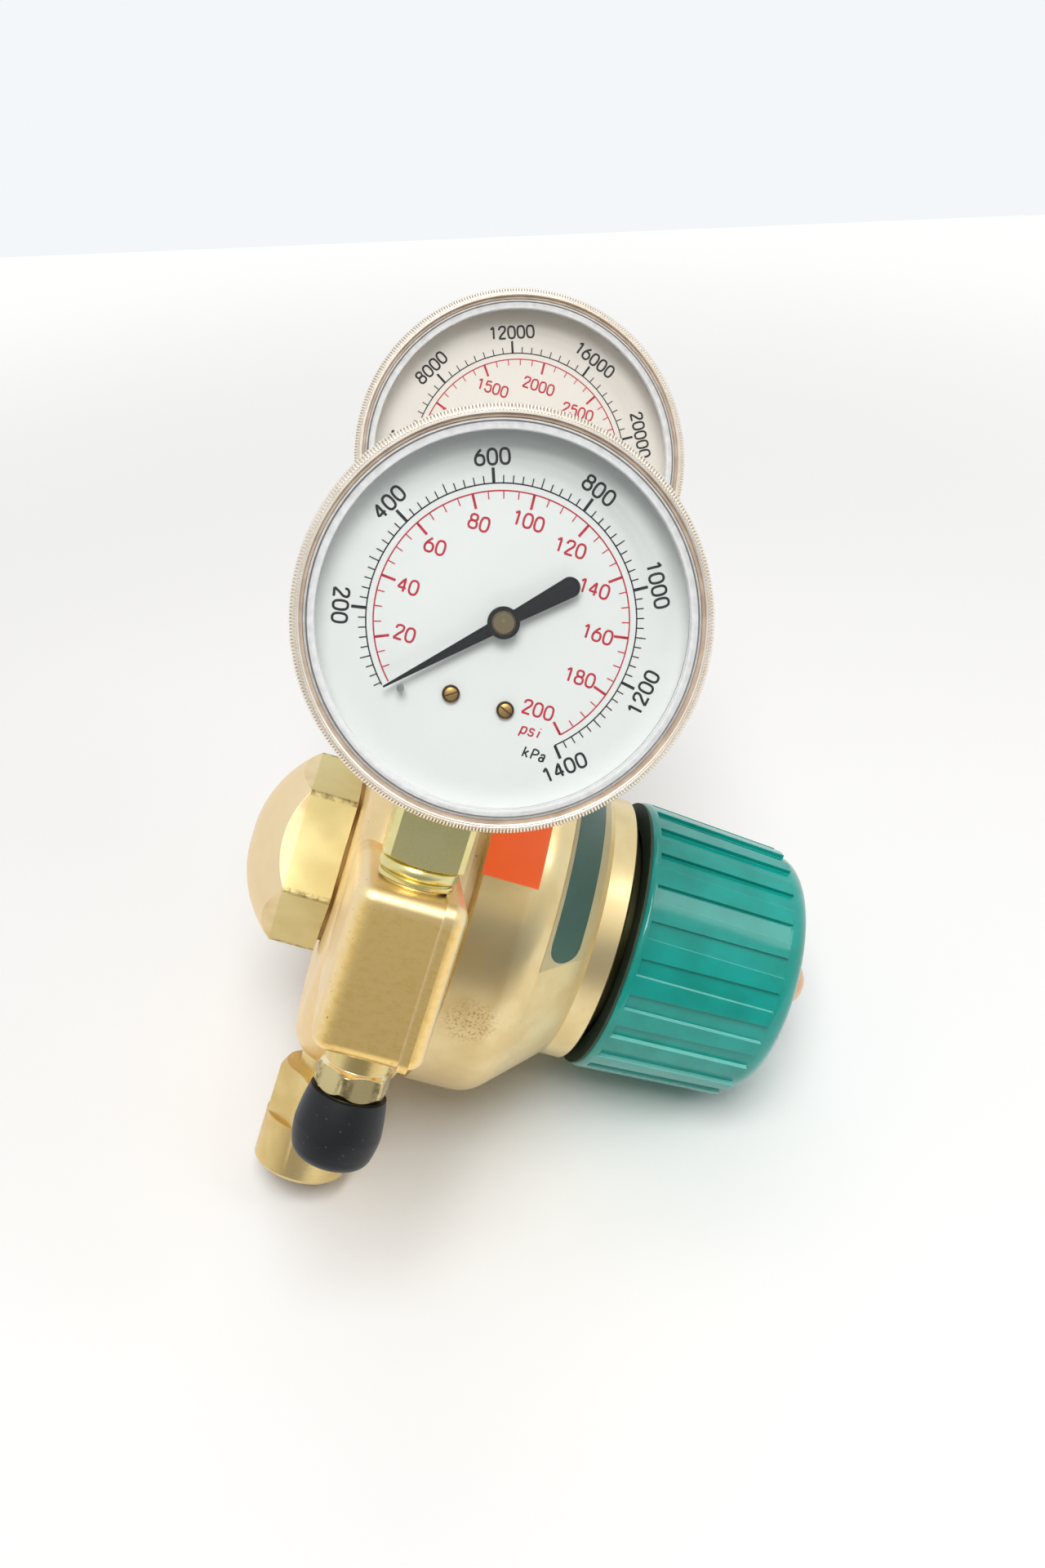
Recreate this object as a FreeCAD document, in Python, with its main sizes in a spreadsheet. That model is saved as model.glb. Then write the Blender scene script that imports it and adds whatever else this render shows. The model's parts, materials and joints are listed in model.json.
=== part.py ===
"""Two-gauge brass pressure regulator for compressed gas, lying on a bench.

The regulator's own frame: +X runs along the main axis from the rear cap to
the knob, +Z runs up the gauge stems, and both dials face -Y.  Every sub-part
is drawn in that frame and then set down on the bench, where it leans back on
the relief valve, the inlet coupling and the knob's rim.  Sizes are in mm.
"""
import FreeCAD, Part
import math
import os
import re
import Sketcher

Vector = FreeCAD.Vector
Rotation = FreeCAD.Rotation
Placement = FreeCAD.Placement

SIZES = {
    # The pose on the bench, in degrees
    "bench_yaw": -5.64296,
    "bench_pitch": 19.53965,
    "bench_roll": -32.40459,
    # The forged body: a thick round disc with a threaded spigot in front
    "body_back": -11,
    "body_front": 12,
    "body_radius": 45.1,
    "body_corner": 8,
    "spigot_radius": 39.5,
    "spigot_front": 22,
    "chamber_radius": 33,
    "chamber_floor": 13,
    "cap_bore": 14,
    "cap_bore_floor": -4,
    "high_bore": 9,
    "high_bore_floor": 2,
    "nozzle_bore": 6,
    # The port block that stands in front of the disc
    "block_half_width": 10.25,
    "block_front": -77.5,
    "block_top": 14.6,
    "block_bottom": -16.4,
    "block_corner": 4,
    "block_edge": 2.6,
    "ridge_start": 5.6,
    "ridge_width": 1.8,
    "ridge_height": 0.5,
    "port_column": -66.8,
    "port_radius": 5.7,
    "port_depth": 10.5,
    "passage_radius": 1.8,
    "cross_radius": 1.5,
    "seat_height": 45.6,
    "boss_start": 34,
    "gauge_boss": 9,
    "chamber_entry": 28,
    "inlet_port_radius": 6.5,
    "inlet_port_depth": 12.1,
    # The hexagonal rear cap
    "cap_end": -32,
    "cap_corner": -22,
    "cap_face": -11.8,
    "cap_crown": 4,
    "cap_dome": 27,
    "cap_flats": 38.1,
    "cap_turn": 44,
    "cap_plug": 13.9,
    "cap_plug_end": -4.4,
    "cap_well": 6,
    "cap_well_end": -20,
    "cap_seal_outer": 17.5,
    "cap_seal_inner": 14.1,
    # The valve inside
    "nozzle_flange": 8.7,
    "nozzle_face": -1,
    "nozzle_lip": 0.6,
    "nozzle_lip_radius": 3,
    "nozzle_way": 2,
    "nozzle_shank": 5.95,
    "nozzle_end": 12.8,
    "poppet_head": 5.2,
    "poppet_seat": -1.7,
    "poppet_back": -7,
    "poppet_tail": -13,
    "poppet_tail_radius": 2.5,
    "poppet_stem": 1.2,
    "poppet_stem_end": 21.6,
    "poppet_wire": 0.9,
    "poppet_coil": 4.2,
    "poppet_turns": 5,
    # Diaphragm, plate and slip ring
    "diaphragm_radius": 39,
    "diaphragm_thick": 0.6,
    "slip_ring_inner": 33,
    "slip_ring_thick": 2,
    "plate_radius": 27,
    "plate_gap": 0.1,
    "plate_thick": 3.3,
    "plate_hub": 9,
    "plate_hub_end": 31,
    # The bonnet
    "bonnet_back": 14.4,
    "bonnet_bore": 39.55,
    "bonnet_radius": 43.8,
    "bonnet_straight": 25.6,
    "bonnet_round": 9.4,
    "bonnet_slope": 42,
    "bonnet_neck_start": 43.5,
    "bonnet_neck": 30.9,
    "bonnet_end": 49,
    "bonnet_ledge_inner": 32.5,
    "bonnet_inner_cone": 30,
    "bonnet_cavity_start": 40,
    "bonnet_cavity": 22,
    "bonnet_cavity_end": 58,
    "boss_radius": 25,
    "boss_end": 62,
    "journal_bore": 6.06,
    "rib_start": 38,
    "rib_inner": 17.8,
    "rib_width": 5,
    # Main spring, its nut and the adjusting spindle
    "spring_wire": 3.2,
    "spring_coil": 14.5,
    "spring_turns": 4,
    "nut_back": 48,
    "nut_front": 54,
    "nut_radius": 21.4,
    "nut_pilot": 10,
    "nut_pilot_end": 43,
    "nut_bore": 5.05,
    "nut_notch_depth": 4.4,
    "nut_notch_width": 6,
    "spindle_end": 33,
    "spindle_screw": 5,
    "collar_back": 54.4,
    "collar_front": 56.9,
    "collar_radius": 10,
    "washer_thick": 1,
    "spindle_journal": 6,
    "hub_back": 63,
    "hub_bore": 5.65,
    "spindle_stud": 4,
    "spindle_front": 98,
    # The knob
    "knob_back": 52,
    "knob_back_radius": 31.7,
    "knob_lip": 1.6,
    "rib_end_x": 86.4,
    "rib_end_radius": 30,
    "rib_step": 1.2,
    "knob_edge": 5.4,
    "knob_front": 91.8,
    "knob_hollow": 28,
    "flute_count": 24,
    "flute_start": 54,
    "flute_rear_width": 3.75,
    "flute_front_width": 4.4,
    "flute_depth": 1.05,
    "flute_phase": -3.4,
    "acorn_end": 102.4,
    "acorn_barrel": 6.3,
    "acorn_flats": 14.3,
    "acorn_hex_end": 96.6,
    "acorn_bore": 4.05,
    # The delivery fitting and its push-on cap
    "outlet_x": -0.3,
    "outlet_thread": 5.65,
    "outlet_neck": 5.9,
    "outlet_hex_top": -20.4,
    "outlet_hex_end": -25.7,
    "outlet_corner": 7.05,
    "outlet_flats": 12.7,
    "outlet_stub": 5.95,
    "outlet_end": -35.4,
    "outlet_way": 2.6,
    "dust_cap_rim": -25.9,
    "dust_cap_rim_radius": 7.1,
    "dust_cap_belly": -33,
    "dust_cap_radius": 8.2,
    "dust_cap_end": -39.6,
    "dust_cap_bore": 6.0,
    "dust_cap_floor": -35.8,
    # The relief valve under the body
    "relief_x": -1.2,
    "relief_y": -8,
    "relief_port_end": -36,
    "relief_thread": 6.45,
    "relief_seat_face": -43.6,
    "relief_neck": 6.4,
    "relief_hex_top": -46.3,
    "relief_hex_end": -58.3,
    "relief_end": -70.2,
    "relief_radius": 10.5,
    "relief_flats": 18.5,
    "relief_orifice": 2,
    "relief_seat": -49.5,
    "relief_bore": 5.2,
    "relief_vent_start": -62,
    "relief_vent": 5.9,
    "relief_plug_top": -59.3,
    "relief_plug": 5.15,
    "relief_head": 4.8,
    "relief_head_back": -51.6,
    "relief_tail": 1.8,
    "relief_tail_end": -57,
    "relief_wire": 1,
    "relief_coil": 3.6,
    # The inlet at the back of the body
    "inlet_thread": 6.45,
    "inlet_thread_start": 33.8,
    "inlet_collar": 9.5,
    "inlet_collar_end": 48.5,
    "inlet_barrel": 8,
    "inlet_barrel_end": 64,
    "inlet_tail": 9.1,
    "inlet_tail_end": 74,
    "inlet_way": 2.5,
    "coupling_start": 63,
    "coupling_end": 86.6,
    "coupling_flats": 28.6,
    "coupling_bore": 9.15,
    "coupling_floor": 74.3,
    "filter_radius": 6.9,
    "filter_start": 75,
    "filter_end": 78,
    "inlet_mouth": 9.3,
    # One gauge, measured from the centre of its stem
    "low_gauge_height": 63.7,
    "high_gauge_height": 94.7,
    "case_radius": 32,
    "case_wall": 1.1,
    "case_back": -11,
    "case_front": 12,
    "bezel_radius": 34.5,
    "bezel_back": 8.4,
    "bezel_front": 18.4,
    "bezel_opening": 32.45,
    "crystal_radius": 32.15,
    "crystal_inner": 31.2,
    "crystal_front": 17.9,
    "crystal_thick": 1.6,
    "dial_radius": 31.15,
    "dial_thick": 0.6,
    "dial_hole": 1.6,
    "screw_x": 4.7,
    "screw_y": -13.7,
    "screw_head": 1.75,
    "screw_head_thick": 0.9,
    "screw_shank": 0.9,
    "stop_pin_radius": 0.6,
    "stop_pin_x": -12.95,
    "stop_pin_y": -15.06,
    "stop_pin_top": 14.9,
    "pointer_tip": 22.2,
    "pointer_tail": 12.5,
    "pointer_tail_half": 1.7,
    "pointer_root_half": 1.05,
    "pointer_back": 14.2,
    "pointer_thick": 0.4,
    "pointer_zero": 225,
    "hub_ring": 2.65,
    "hub_cap": 1.95,
    "arbor_radius": 0.8,
    "pinion_radius": 1.2,
    "movement_half_width": 8,
    "movement_bottom": -20,
    "movement_top": 4,
    "movement_back": -3,
    "movement_plate": 1.5,
    "movement_front": 8.5,
    "pillar_x": 6.8,
    "pillar_radius": 1.1,
    "sector_pivot": -13.3,
    "sector_radius": 11.9,
    "sector_half_angle": 16,
    "sector_start": -13.5,
    "sector_pin": 4.2,
    "sector_pin_radius": 0.6,
    "tube_radius": 23,
    "tube_thick": 2.4,
    "tube_back": -6,
    "tube_width": 8,
    "tube_tip_angle": -30,
    "tube_sweep": 286,
    "link_width": 2,
    "link_back": 5.6,
    "link_thick": 0.8,
    "stem_top": -30,
    "stem_flats": 14.4,
    "stem_flats_end": -44.7,
    "stem_seat": -49.1,
    "stem_neck": 6,
    "stem_bead": 6.7,
    "stem_thread_end": -57.1,
    "stem_block_half": 6,
    "stem_way": 1.2,
}

doc = FreeCAD.newDocument("regulator")
sheet = doc.addObject("Spreadsheet::Sheet", "Sizes")
for row, (alias, amount) in enumerate(SIZES.items(), 1):
    sheet.set(f"A{row}", alias)
    sheet.set(f"B{row}", str(amount))
    sheet.setAlias(f"B{row}", alias)
doc.recompute()

# The finished sub-parts: node name to (object, its place in the regulator's frame)
finished = {}


def bound(text):
    """The expression with every size read from the sheet."""
    words = r"[a-z_]+"
    return re.sub(words, lambda m: "Sizes." + m.group() if m.group() in SIZES else m.group(), text)


def amount_of(text):
    return float(sheet.evalExpression(bound(text)))


def bind(thing, prop, text):
    thing.setExpression(prop, bound(text))


def arc_centre(start, end, radius, turn):
    """Centre of the short arc from start to end; turn is +1 to the left, -1 to the right."""
    chord = end - start
    across = Vector(-chord.y, chord.x, 0).normalize()
    rise = math.sqrt(max(radius ** 2 - (chord.Length / 2) ** 2, 0))
    return start + chord * 0.5 + across * (rise * turn)


def outline(body, plane, points, name):
    """A closed sketch: every corner is held by two sizes, every arc by its radius too.

    A point is (x, y), or (x, y, "round" or "hollow", radius) where an arc leads to the next.
    """
    sketch = body.newObject("Sketcher::SketchObject", name)
    base = [f for f in body.Origin.OriginFeatures if f.Role == plane][0]
    sketch.AttachmentSupport = [(base, "")]
    sketch.MapMode = "FlatFace"
    spots = [Vector(amount_of(p[0]), amount_of(p[1]), 0) for p in points]
    pairs = list(zip(spots, spots[1:] + spots[:1]))
    winding = 1 if sum(a.x * b.y - b.x * a.y for a, b in pairs) > 0 else -1
    ends = []
    for number, (point, (start, end)) in enumerate(zip(points, pairs)):
        if len(point) == 2:
            sketch.addGeometry(Part.LineSegment(start, end))
            ends.append((1, 2))
            continue
        turn = winding if point[2] == "round" else -winding
        centre = arc_centre(start, end, amount_of(point[3]), turn)
        first, last = (start, end) if turn > 0 else (end, start)
        from_angle = math.atan2(first.y - centre.y, first.x - centre.x)
        to_angle = math.atan2(last.y - centre.y, last.x - centre.x)
        if to_angle < from_angle:
            to_angle += 2 * math.pi
        circle = Part.Circle(centre, Vector(0, 0, 1), (first - centre).Length)
        sketch.addGeometry(Part.ArcOfCircle(circle, from_angle, to_angle))
        ends.append((1, 2) if turn > 0 else (2, 1))
    count = len(points)
    for number in range(count):
        after = (number + 1) % count
        joint = Sketcher.Constraint("Coincident", number, ends[number][1], after, ends[after][0])
        sketch.addConstraint(joint)
    for number, point in enumerate(points):
        corner = (-1, 1, number, ends[number][0])
        for kind, text, value in (("DistanceX", point[0], spots[number].x),
                                  ("DistanceY", point[1], spots[number].y)):
            held = sketch.addConstraint(Sketcher.Constraint(kind, *corner, value))
            bind(sketch, f"Constraints[{held}]", text)
        if len(point) > 2:
            radius = Sketcher.Constraint("Radius", number, amount_of(point[3]))
            held = sketch.addConstraint(radius)
            bind(sketch, f"Constraints[{held}]", point[3])
    return sketch


def new_body(name):
    return doc.addObject("PartDesign::Body", name)


def turned(name, along, points, sweep="360"):
    """A body turned about X or Z; each point is (distance along the axis, radius, ...)."""
    body = new_body(name)
    if along == "Z":
        points = [(p[1], p[0]) + tuple(p[2:]) for p in points]
    sketch = outline(body, "XZ_Plane", points, name + "_profile")
    turn = body.newObject("PartDesign::Revolution", name + "_turn")
    turn.Profile = sketch
    turn.ReferenceAxis = (sketch, ["H_Axis" if along == "X" else "V_Axis"])
    bind(turn, "Angle", sweep)
    return body


def slab(name, plane, points, thickness, offset="0"):
    """A flat body: a closed outline with a thickness."""
    body = new_body(name)
    sketch = outline(body, plane, points, name + "_profile")
    bind(sketch, "AttachmentOffset.Base.z", offset)
    pad = body.newObject("PartDesign::Pad", name + "_pad")
    pad.Profile = sketch
    bind(pad, "Length", thickness)
    return body


TURNS = {
    "Z": Rotation(),
    "-Z": Rotation(Vector(1, 0, 0), 180),
    "X": Rotation(Vector(0, 1, 0), 90),
    "Y": Rotation(Vector(1, 0, 0), -90),
    "-Y": Rotation(Vector(1, 0, 0), 90),
}


def put(thing, at, along="Z", spin=0):
    """Place a primitive: its own Z axis points along, its origin is at the given sizes."""
    thing.Placement = Placement(Vector(), TURNS[along] * Rotation(Vector(0, 0, 1), spin))
    for axis, text in zip("xyz", at):
        bind(thing, f"Placement.Base.{axis}", text)
    return thing


def rod(name, radius, length, at, along="Z"):
    thing = doc.addObject("Part::Cylinder", name)
    bind(thing, "Radius", radius)
    bind(thing, "Height", length)
    return put(thing, at, along)


def block(name, size, at):
    """A box from its lowest corner."""
    thing = doc.addObject("Part::Box", name)
    for prop, text in zip(("Length", "Width", "Height"), size):
        bind(thing, prop, text)
    return put(thing, at)


def fused(name, things):
    result = doc.addObject("Part::MultiFuse", name)
    result.Shapes = things
    return result


def cut(name, base, tools):
    tool = tools[0] if len(tools) == 1 else fused(name + "_tools", tools)
    result = doc.addObject("Part::Cut", name)
    result.Base = base
    result.Tool = tool
    return result


def flats(name, base, sides, across, start, end, along="X", spin=0, outside="60"):
    """Cut flats on a turned piece, between two stations on its axis."""
    prism = doc.addObject("Part::Prism", name + "_prism")
    prism.Polygon = sides
    bind(prism, "Circumradius", f"({across}) / 2 / cos(180 / {sides})")
    bind(prism, "Height", f"({end}) - ({start})")
    ring = rod(name + "_ring", outside, f"({end}) - ({start})", ("0", "0", "0"))
    waste = cut(name + "_waste", ring, [prism])
    at = (start, "0", "0") if along == "X" else ("0", "0", start)
    put(waste, at, along, spin)
    return cut(name, base, [waste])


def finish(node, thing, place=Placement()):
    """Name a finished sub-part and keep its place in the regulator's frame."""
    thing.Label = node
    finished[node] = (thing, place)
    return thing


def arc_from(start, heading, end):
    """The arc that leaves start along heading and reaches end."""
    chord = end - start
    along = Vector(chord).normalize()
    side = heading - along * heading.dot(along)
    half = chord.Length / 2
    rise = half * math.tan(heading.getAngle(chord) / 2)
    middle = start + chord * 0.5 + side.normalize() * rise
    return Part.Arc(start, middle, end)


def coil(name, coil_radius, wire, turns, first, last):
    """A round-wire spring along X, one unbroken tube on pairs of arcs for each quarter turn."""
    radius = amount_of(coil_radius)
    wire_radius = amount_of(wire) / 2
    begin = amount_of(first) + wire_radius + 0.05
    rise = amount_of(last) - wire_radius - 0.05 - begin
    quarters = int(amount_of(turns) * 4)
    climb = rise / (quarters * math.pi / 2)
    spots = []
    for step in range(quarters + 1):
        angle = step * math.pi / 2
        spot = Vector(begin + climb * angle, radius * math.cos(angle), radius * math.sin(angle))
        heading = Vector(climb, -radius * math.sin(angle), radius * math.cos(angle)).normalize()
        spots.append((spot, heading))
    arcs = []
    for (start, leaving), (end, arriving) in zip(spots, spots[1:]):
        span = end - start
        spread = 2 * (1 - leaving.dot(arriving))
        reach = span.dot(leaving + arriving)
        handle = (-reach + math.sqrt(reach ** 2 + 2 * spread * span.dot(span))) / spread
        middle = (start + end + (leaving - arriving) * handle) * 0.5
        arcs.append(arc_from(start, leaving, middle))
        arcs.append(arc_from(end, arriving * -1, middle))
    path = Part.Wire([arc.toShape() for arc in arcs])
    circle = Part.Circle(spots[0][0], spots[0][1], wire_radius)
    thing = doc.addObject("Part::Feature", name)
    thing.Shape = path.makePipeShell([Part.Wire(circle.toShape())], True, False)
    gap = climb * 2 * math.pi - 2 * wire_radius
    print(f"{name}: {quarters / 4:g} turns, gap between turns {gap:.2f} mm")
    return thing


def column_at(x, y):
    return Placement(Vector(amount_of(x), amount_of(y), 0), Rotation())


def spun(angle):
    return Placement(Vector(), Rotation(Vector(0, 0, 1), amount_of(angle)))


def make_forging():
    """Disc, spigot and port block in one forging, with every bore and passage."""
    disc = turned("disc", "X", [
        ("body_back", "cap_bore"),
        ("body_back", "body_radius - body_corner", "round", "body_corner"),
        ("body_back + body_corner", "body_radius"),
        ("body_front", "body_radius"),
        ("body_front", "spigot_radius"),
        ("spigot_front", "spigot_radius"),
        ("spigot_front", "chamber_radius"),
        ("chamber_floor", "chamber_radius"),
        ("chamber_floor", "nozzle_bore"),
        ("high_bore_floor", "nozzle_bore"),
        ("high_bore_floor", "high_bore"),
        ("cap_bore_floor", "high_bore"),
        ("cap_bore_floor", "cap_bore"),
    ])
    column = slab("port_block", "XY_Plane", [
        ("-block_half_width", "-body_radius + 5"),
        ("-block_half_width", "block_front + block_corner", "round", "block_corner"),
        ("-block_half_width + block_corner", "block_front"),
        ("block_half_width - block_corner", "block_front", "round", "block_corner"),
        ("block_half_width", "block_front + block_corner"),
        ("block_half_width", "-body_radius + 5"),
    ], "block_top - block_bottom", "block_bottom")
    doc.recompute()
    rim = []
    ends = (amount_of("block_top"), amount_of("block_bottom"))
    for number, edge in enumerate(column.Shape.Edges, 1):
        middle = edge.CenterOfMass
        on_end = min(abs(middle.z - end) for end in ends) < 0.01
        if on_end and middle.y < amount_of("-body_radius"):
            rim.append(f"Edge{number}")
    plain = column.Tip
    soft = column.newObject("PartDesign::Fillet", "port_block_rims")
    soft.Base = (plain, rim)
    bind(soft, "Radius", "block_edge")
    low = "block_bottom - ridge_height"
    high = "block_top + ridge_height"
    face = "block_front - ridge_height"
    ridge = slab("parting_ridge", "YZ_Plane", [
        ("-body_radius + 5", low),
        (face + " + block_edge", low, "round", "block_edge"),
        (face, low + " + block_edge"),
        (face, high + " - block_edge", "round", "block_edge"),
        (face + " + block_edge", high),
        ("-body_radius + 5", high),
    ], "ridge_width", "ridge_start")
    rise = "seat_height - boss_start"
    bosses = [
        rod("gauge_boss_rod", "gauge_boss", rise, ("0", "0", "boss_start")),
        rod("inlet_boss_rod", "inlet_collar + 0.4", rise, ("0", "boss_start", "0"), "Y"),
    ]
    solid = fused("forging_solid", [disc, column, ridge] + bosses)
    deep = "port_depth + 5"
    ways = [
        rod("low_port", "port_radius", deep,
            ("0", "port_column", "block_top - port_depth")),
        rod("outlet_port", "port_radius", deep,
            ("outlet_x", "port_column", "block_bottom - 5")),
        rod("block_way", "passage_radius", "block_top - block_bottom",
            ("0", "port_column", "block_bottom")),
        rod("chamber_way", "cross_radius", "-port_column - chamber_entry",
            ("0", "port_column", "0"), "Y"),
        rod("chamber_entry_way", "passage_radius", "chamber_floor + 1",
            ("0", "-chamber_entry", "0"), "X"),
        rod("high_port", "port_radius", deep, ("0", "0", "seat_height - port_depth")),
        rod("high_way", "passage_radius", "seat_height - high_bore",
            ("0", "0", "high_bore - 1")),
        rod("inlet_port", "inlet_port_radius", "inlet_port_depth + 5",
            ("0", "seat_height - inlet_port_depth", "0"), "Y"),
        rod("inlet_way", "passage_radius", "seat_height - high_bore",
            ("0", "high_bore - 1", "0"), "Y"),
        rod("relief_port", "relief_thread + 0.05", "-relief_seat_face + relief_port_end + 5",
            ("relief_x", "relief_y", "relief_seat_face - 5")),
        rod("relief_spot", "relief_radius + 0.5", "5",
            ("relief_x", "relief_y", "relief_seat_face - 5")),
        rod("relief_way", "passage_radius", "-relief_port_end - chamber_entry + 4",
            ("relief_x", "relief_y", "relief_port_end - 2")),
        rod("relief_entry_way", "cross_radius", "chamber_floor - relief_x + 1",
            ("relief_x", "relief_y", "-chamber_entry"), "X"),
    ]
    finish("body_forging", cut("forging", solid, ways))


def make_rear_cap():
    """Domed hexagonal cap over the valve, with its flat seal."""
    cap = turned("cap_blank", "X", [
        ("cap_end", "0"),
        ("cap_end", "cap_crown", "round", "cap_dome"),
        ("cap_corner", "cap_flats / 2 / cos(30)"),
        ("cap_face", "cap_flats / 2 / cos(30)"),
        ("cap_face", "cap_plug"),
        ("cap_plug_end", "cap_plug"),
        ("cap_plug_end", "cap_well"),
        ("cap_well_end", "cap_well"),
        ("cap_well_end", "0"),
    ])
    spin = SIZES["cap_turn"]
    cap_hex = flats("cap_hex", cap, 6, "cap_flats", "cap_end - 1", "cap_face", "X", spin)
    finish("rear_cap", cap_hex)
    finish("rear_cap_seal", turned("cap_seal", "X", [
        ("cap_face", "cap_seal_inner"),
        ("cap_face", "cap_seal_outer"),
        ("body_back", "cap_seal_outer"),
        ("body_back", "cap_seal_inner"),
    ]))


def make_valve():
    """Seat nozzle, poppet and the light spring that closes it."""
    finish("seat_nozzle", turned("nozzle", "X", [
        ("nozzle_face - nozzle_lip", "nozzle_way"),
        ("nozzle_face - nozzle_lip", "nozzle_lip_radius"),
        ("nozzle_face", "nozzle_lip_radius"),
        ("nozzle_face", "nozzle_flange"),
        ("high_bore_floor", "nozzle_flange"),
        ("high_bore_floor", "nozzle_shank"),
        ("nozzle_end", "nozzle_shank"),
        ("nozzle_end", "nozzle_way"),
    ]))
    finish("poppet", turned("poppet_turned", "X", [
        ("poppet_tail", "0"),
        ("poppet_tail", "poppet_tail_radius"),
        ("poppet_back", "poppet_tail_radius"),
        ("poppet_back", "poppet_head"),
        ("poppet_seat", "poppet_head"),
        ("poppet_seat", "poppet_stem"),
        ("poppet_stem_end", "poppet_stem"),
        ("poppet_stem_end", "0"),
    ]))
    spring = coil("poppet_coil_spring", "poppet_coil", "poppet_wire", "poppet_turns",
                  "cap_well_end", "poppet_back")
    finish("poppet_spring", spring)


def make_diaphragm():
    """Steel diaphragm, the ring that clamps it and the plate that the spring pushes."""
    finish("diaphragm", turned("diaphragm_disc", "X", [
        ("spigot_front", "0"),
        ("spigot_front", "diaphragm_radius"),
        ("spigot_front + diaphragm_thick", "diaphragm_radius"),
        ("spigot_front + diaphragm_thick", "0"),
    ]))
    ring_back = "spigot_front + diaphragm_thick"
    finish("slip_ring", turned("slip_ring_turned", "X", [
        (ring_back, "slip_ring_inner"),
        (ring_back, "diaphragm_radius"),
        (ring_back + " + slip_ring_thick", "diaphragm_radius"),
        (ring_back + " + slip_ring_thick", "slip_ring_inner"),
    ]))
    plate_back = ring_back + " + plate_gap"
    finish("diaphragm_plate", turned("plate_turned", "X", [
        (plate_back, "0"),
        (plate_back, "plate_radius"),
        (plate_back + " + plate_thick", "plate_radius"),
        (plate_back + " + plate_thick", "plate_hub"),
        ("plate_hub_end", "plate_hub"),
        ("plate_hub_end", "0"),
    ]))


def make_bonnet():
    """Spring housing: straight skirt, round shoulder, cone, neck and inner boss."""
    ledge = "spigot_front + diaphragm_thick + slip_ring_thick"
    cone_start = "bonnet_straight + bonnet_round * sin(bonnet_slope)"
    shell = turned("bonnet_shell", "X", [
        ("bonnet_back", "bonnet_bore"),
        ("bonnet_back", "bonnet_radius - 0.6"),
        ("bonnet_back + 0.6", "bonnet_radius"),
        ("bonnet_straight", "bonnet_radius", "round", "bonnet_round"),
        (cone_start, "bonnet_radius - bonnet_round * (1 - cos(bonnet_slope))"),
        ("bonnet_neck_start", "bonnet_neck"),
        ("bonnet_end - 0.5", "bonnet_neck"),
        ("bonnet_end", "bonnet_neck - 0.5"),
        ("bonnet_end", "boss_radius"),
        ("boss_end", "boss_radius"),
        ("boss_end", "journal_bore"),
        ("bonnet_cavity_end", "journal_bore"),
        ("bonnet_cavity_end", "bonnet_cavity"),
        ("bonnet_cavity_start", "bonnet_cavity"),
        ("bonnet_inner_cone", "bonnet_ledge_inner"),
        (ledge, "bonnet_ledge_inner"),
        (ledge, "bonnet_bore"),
    ])
    rib = ("bonnet_cavity_end - rib_start + 0.5", "bonnet_cavity - rib_inner + 1", "rib_width")
    ribs = [
        block("rib_back", rib, ("rib_start", "rib_inner", "-rib_width / 2")),
        block("rib_front", rib, ("rib_start", "-bonnet_cavity - 1", "-rib_width / 2")),
    ]
    finish("bonnet", fused("bonnet_solid", [shell] + ribs))


def make_adjuster():
    """Main spring, the nut that loads it, the spindle that drives the nut, and a washer."""
    plate_front = "spigot_front + diaphragm_thick + plate_gap + plate_thick"
    spring = coil("main_coil_spring", "spring_coil", "spring_wire", "spring_turns",
                  plate_front, "nut_back")
    finish("main_spring", spring)
    nut = turned("nut_blank", "X", [
        ("nut_pilot_end", "nut_bore"),
        ("nut_pilot_end", "nut_pilot"),
        ("nut_back", "nut_pilot"),
        ("nut_back", "nut_radius"),
        ("nut_front", "nut_radius"),
        ("nut_front", "nut_bore"),
    ])
    notch = ("nut_front - nut_back + 2", "nut_notch_depth + 1", "nut_notch_width")
    low = "-nut_notch_width / 2"
    notches = [
        block("notch_back", notch, ("nut_back - 1", "nut_radius - nut_notch_depth", low)),
        block("notch_front", notch, ("nut_back - 1", "-nut_radius - 1", low)),
    ]
    finish("spring_nut", cut("nut_cut", nut, notches))
    finish("adjusting_spindle", turned("spindle_turned", "X", [
        ("spindle_end", "0"),
        ("spindle_end", "spindle_screw"),
        ("collar_back", "spindle_screw"),
        ("collar_back", "collar_radius"),
        ("collar_front", "collar_radius"),
        ("collar_front", "spindle_journal"),
        ("hub_back", "spindle_journal"),
        ("hub_back", "hub_bore - 0.05"),
        ("knob_front", "hub_bore - 0.05"),
        ("knob_front", "spindle_stud"),
        ("spindle_front", "spindle_stud"),
        ("spindle_front", "0"),
    ]))
    finish("thrust_washer", turned("washer_turned", "X", [
        ("bonnet_cavity_end - washer_thick", "spindle_journal + 0.3"),
        ("bonnet_cavity_end - washer_thick", "collar_radius"),
        ("bonnet_cavity_end", "collar_radius"),
        ("bonnet_cavity_end", "spindle_journal + 0.3"),
    ]))


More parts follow.
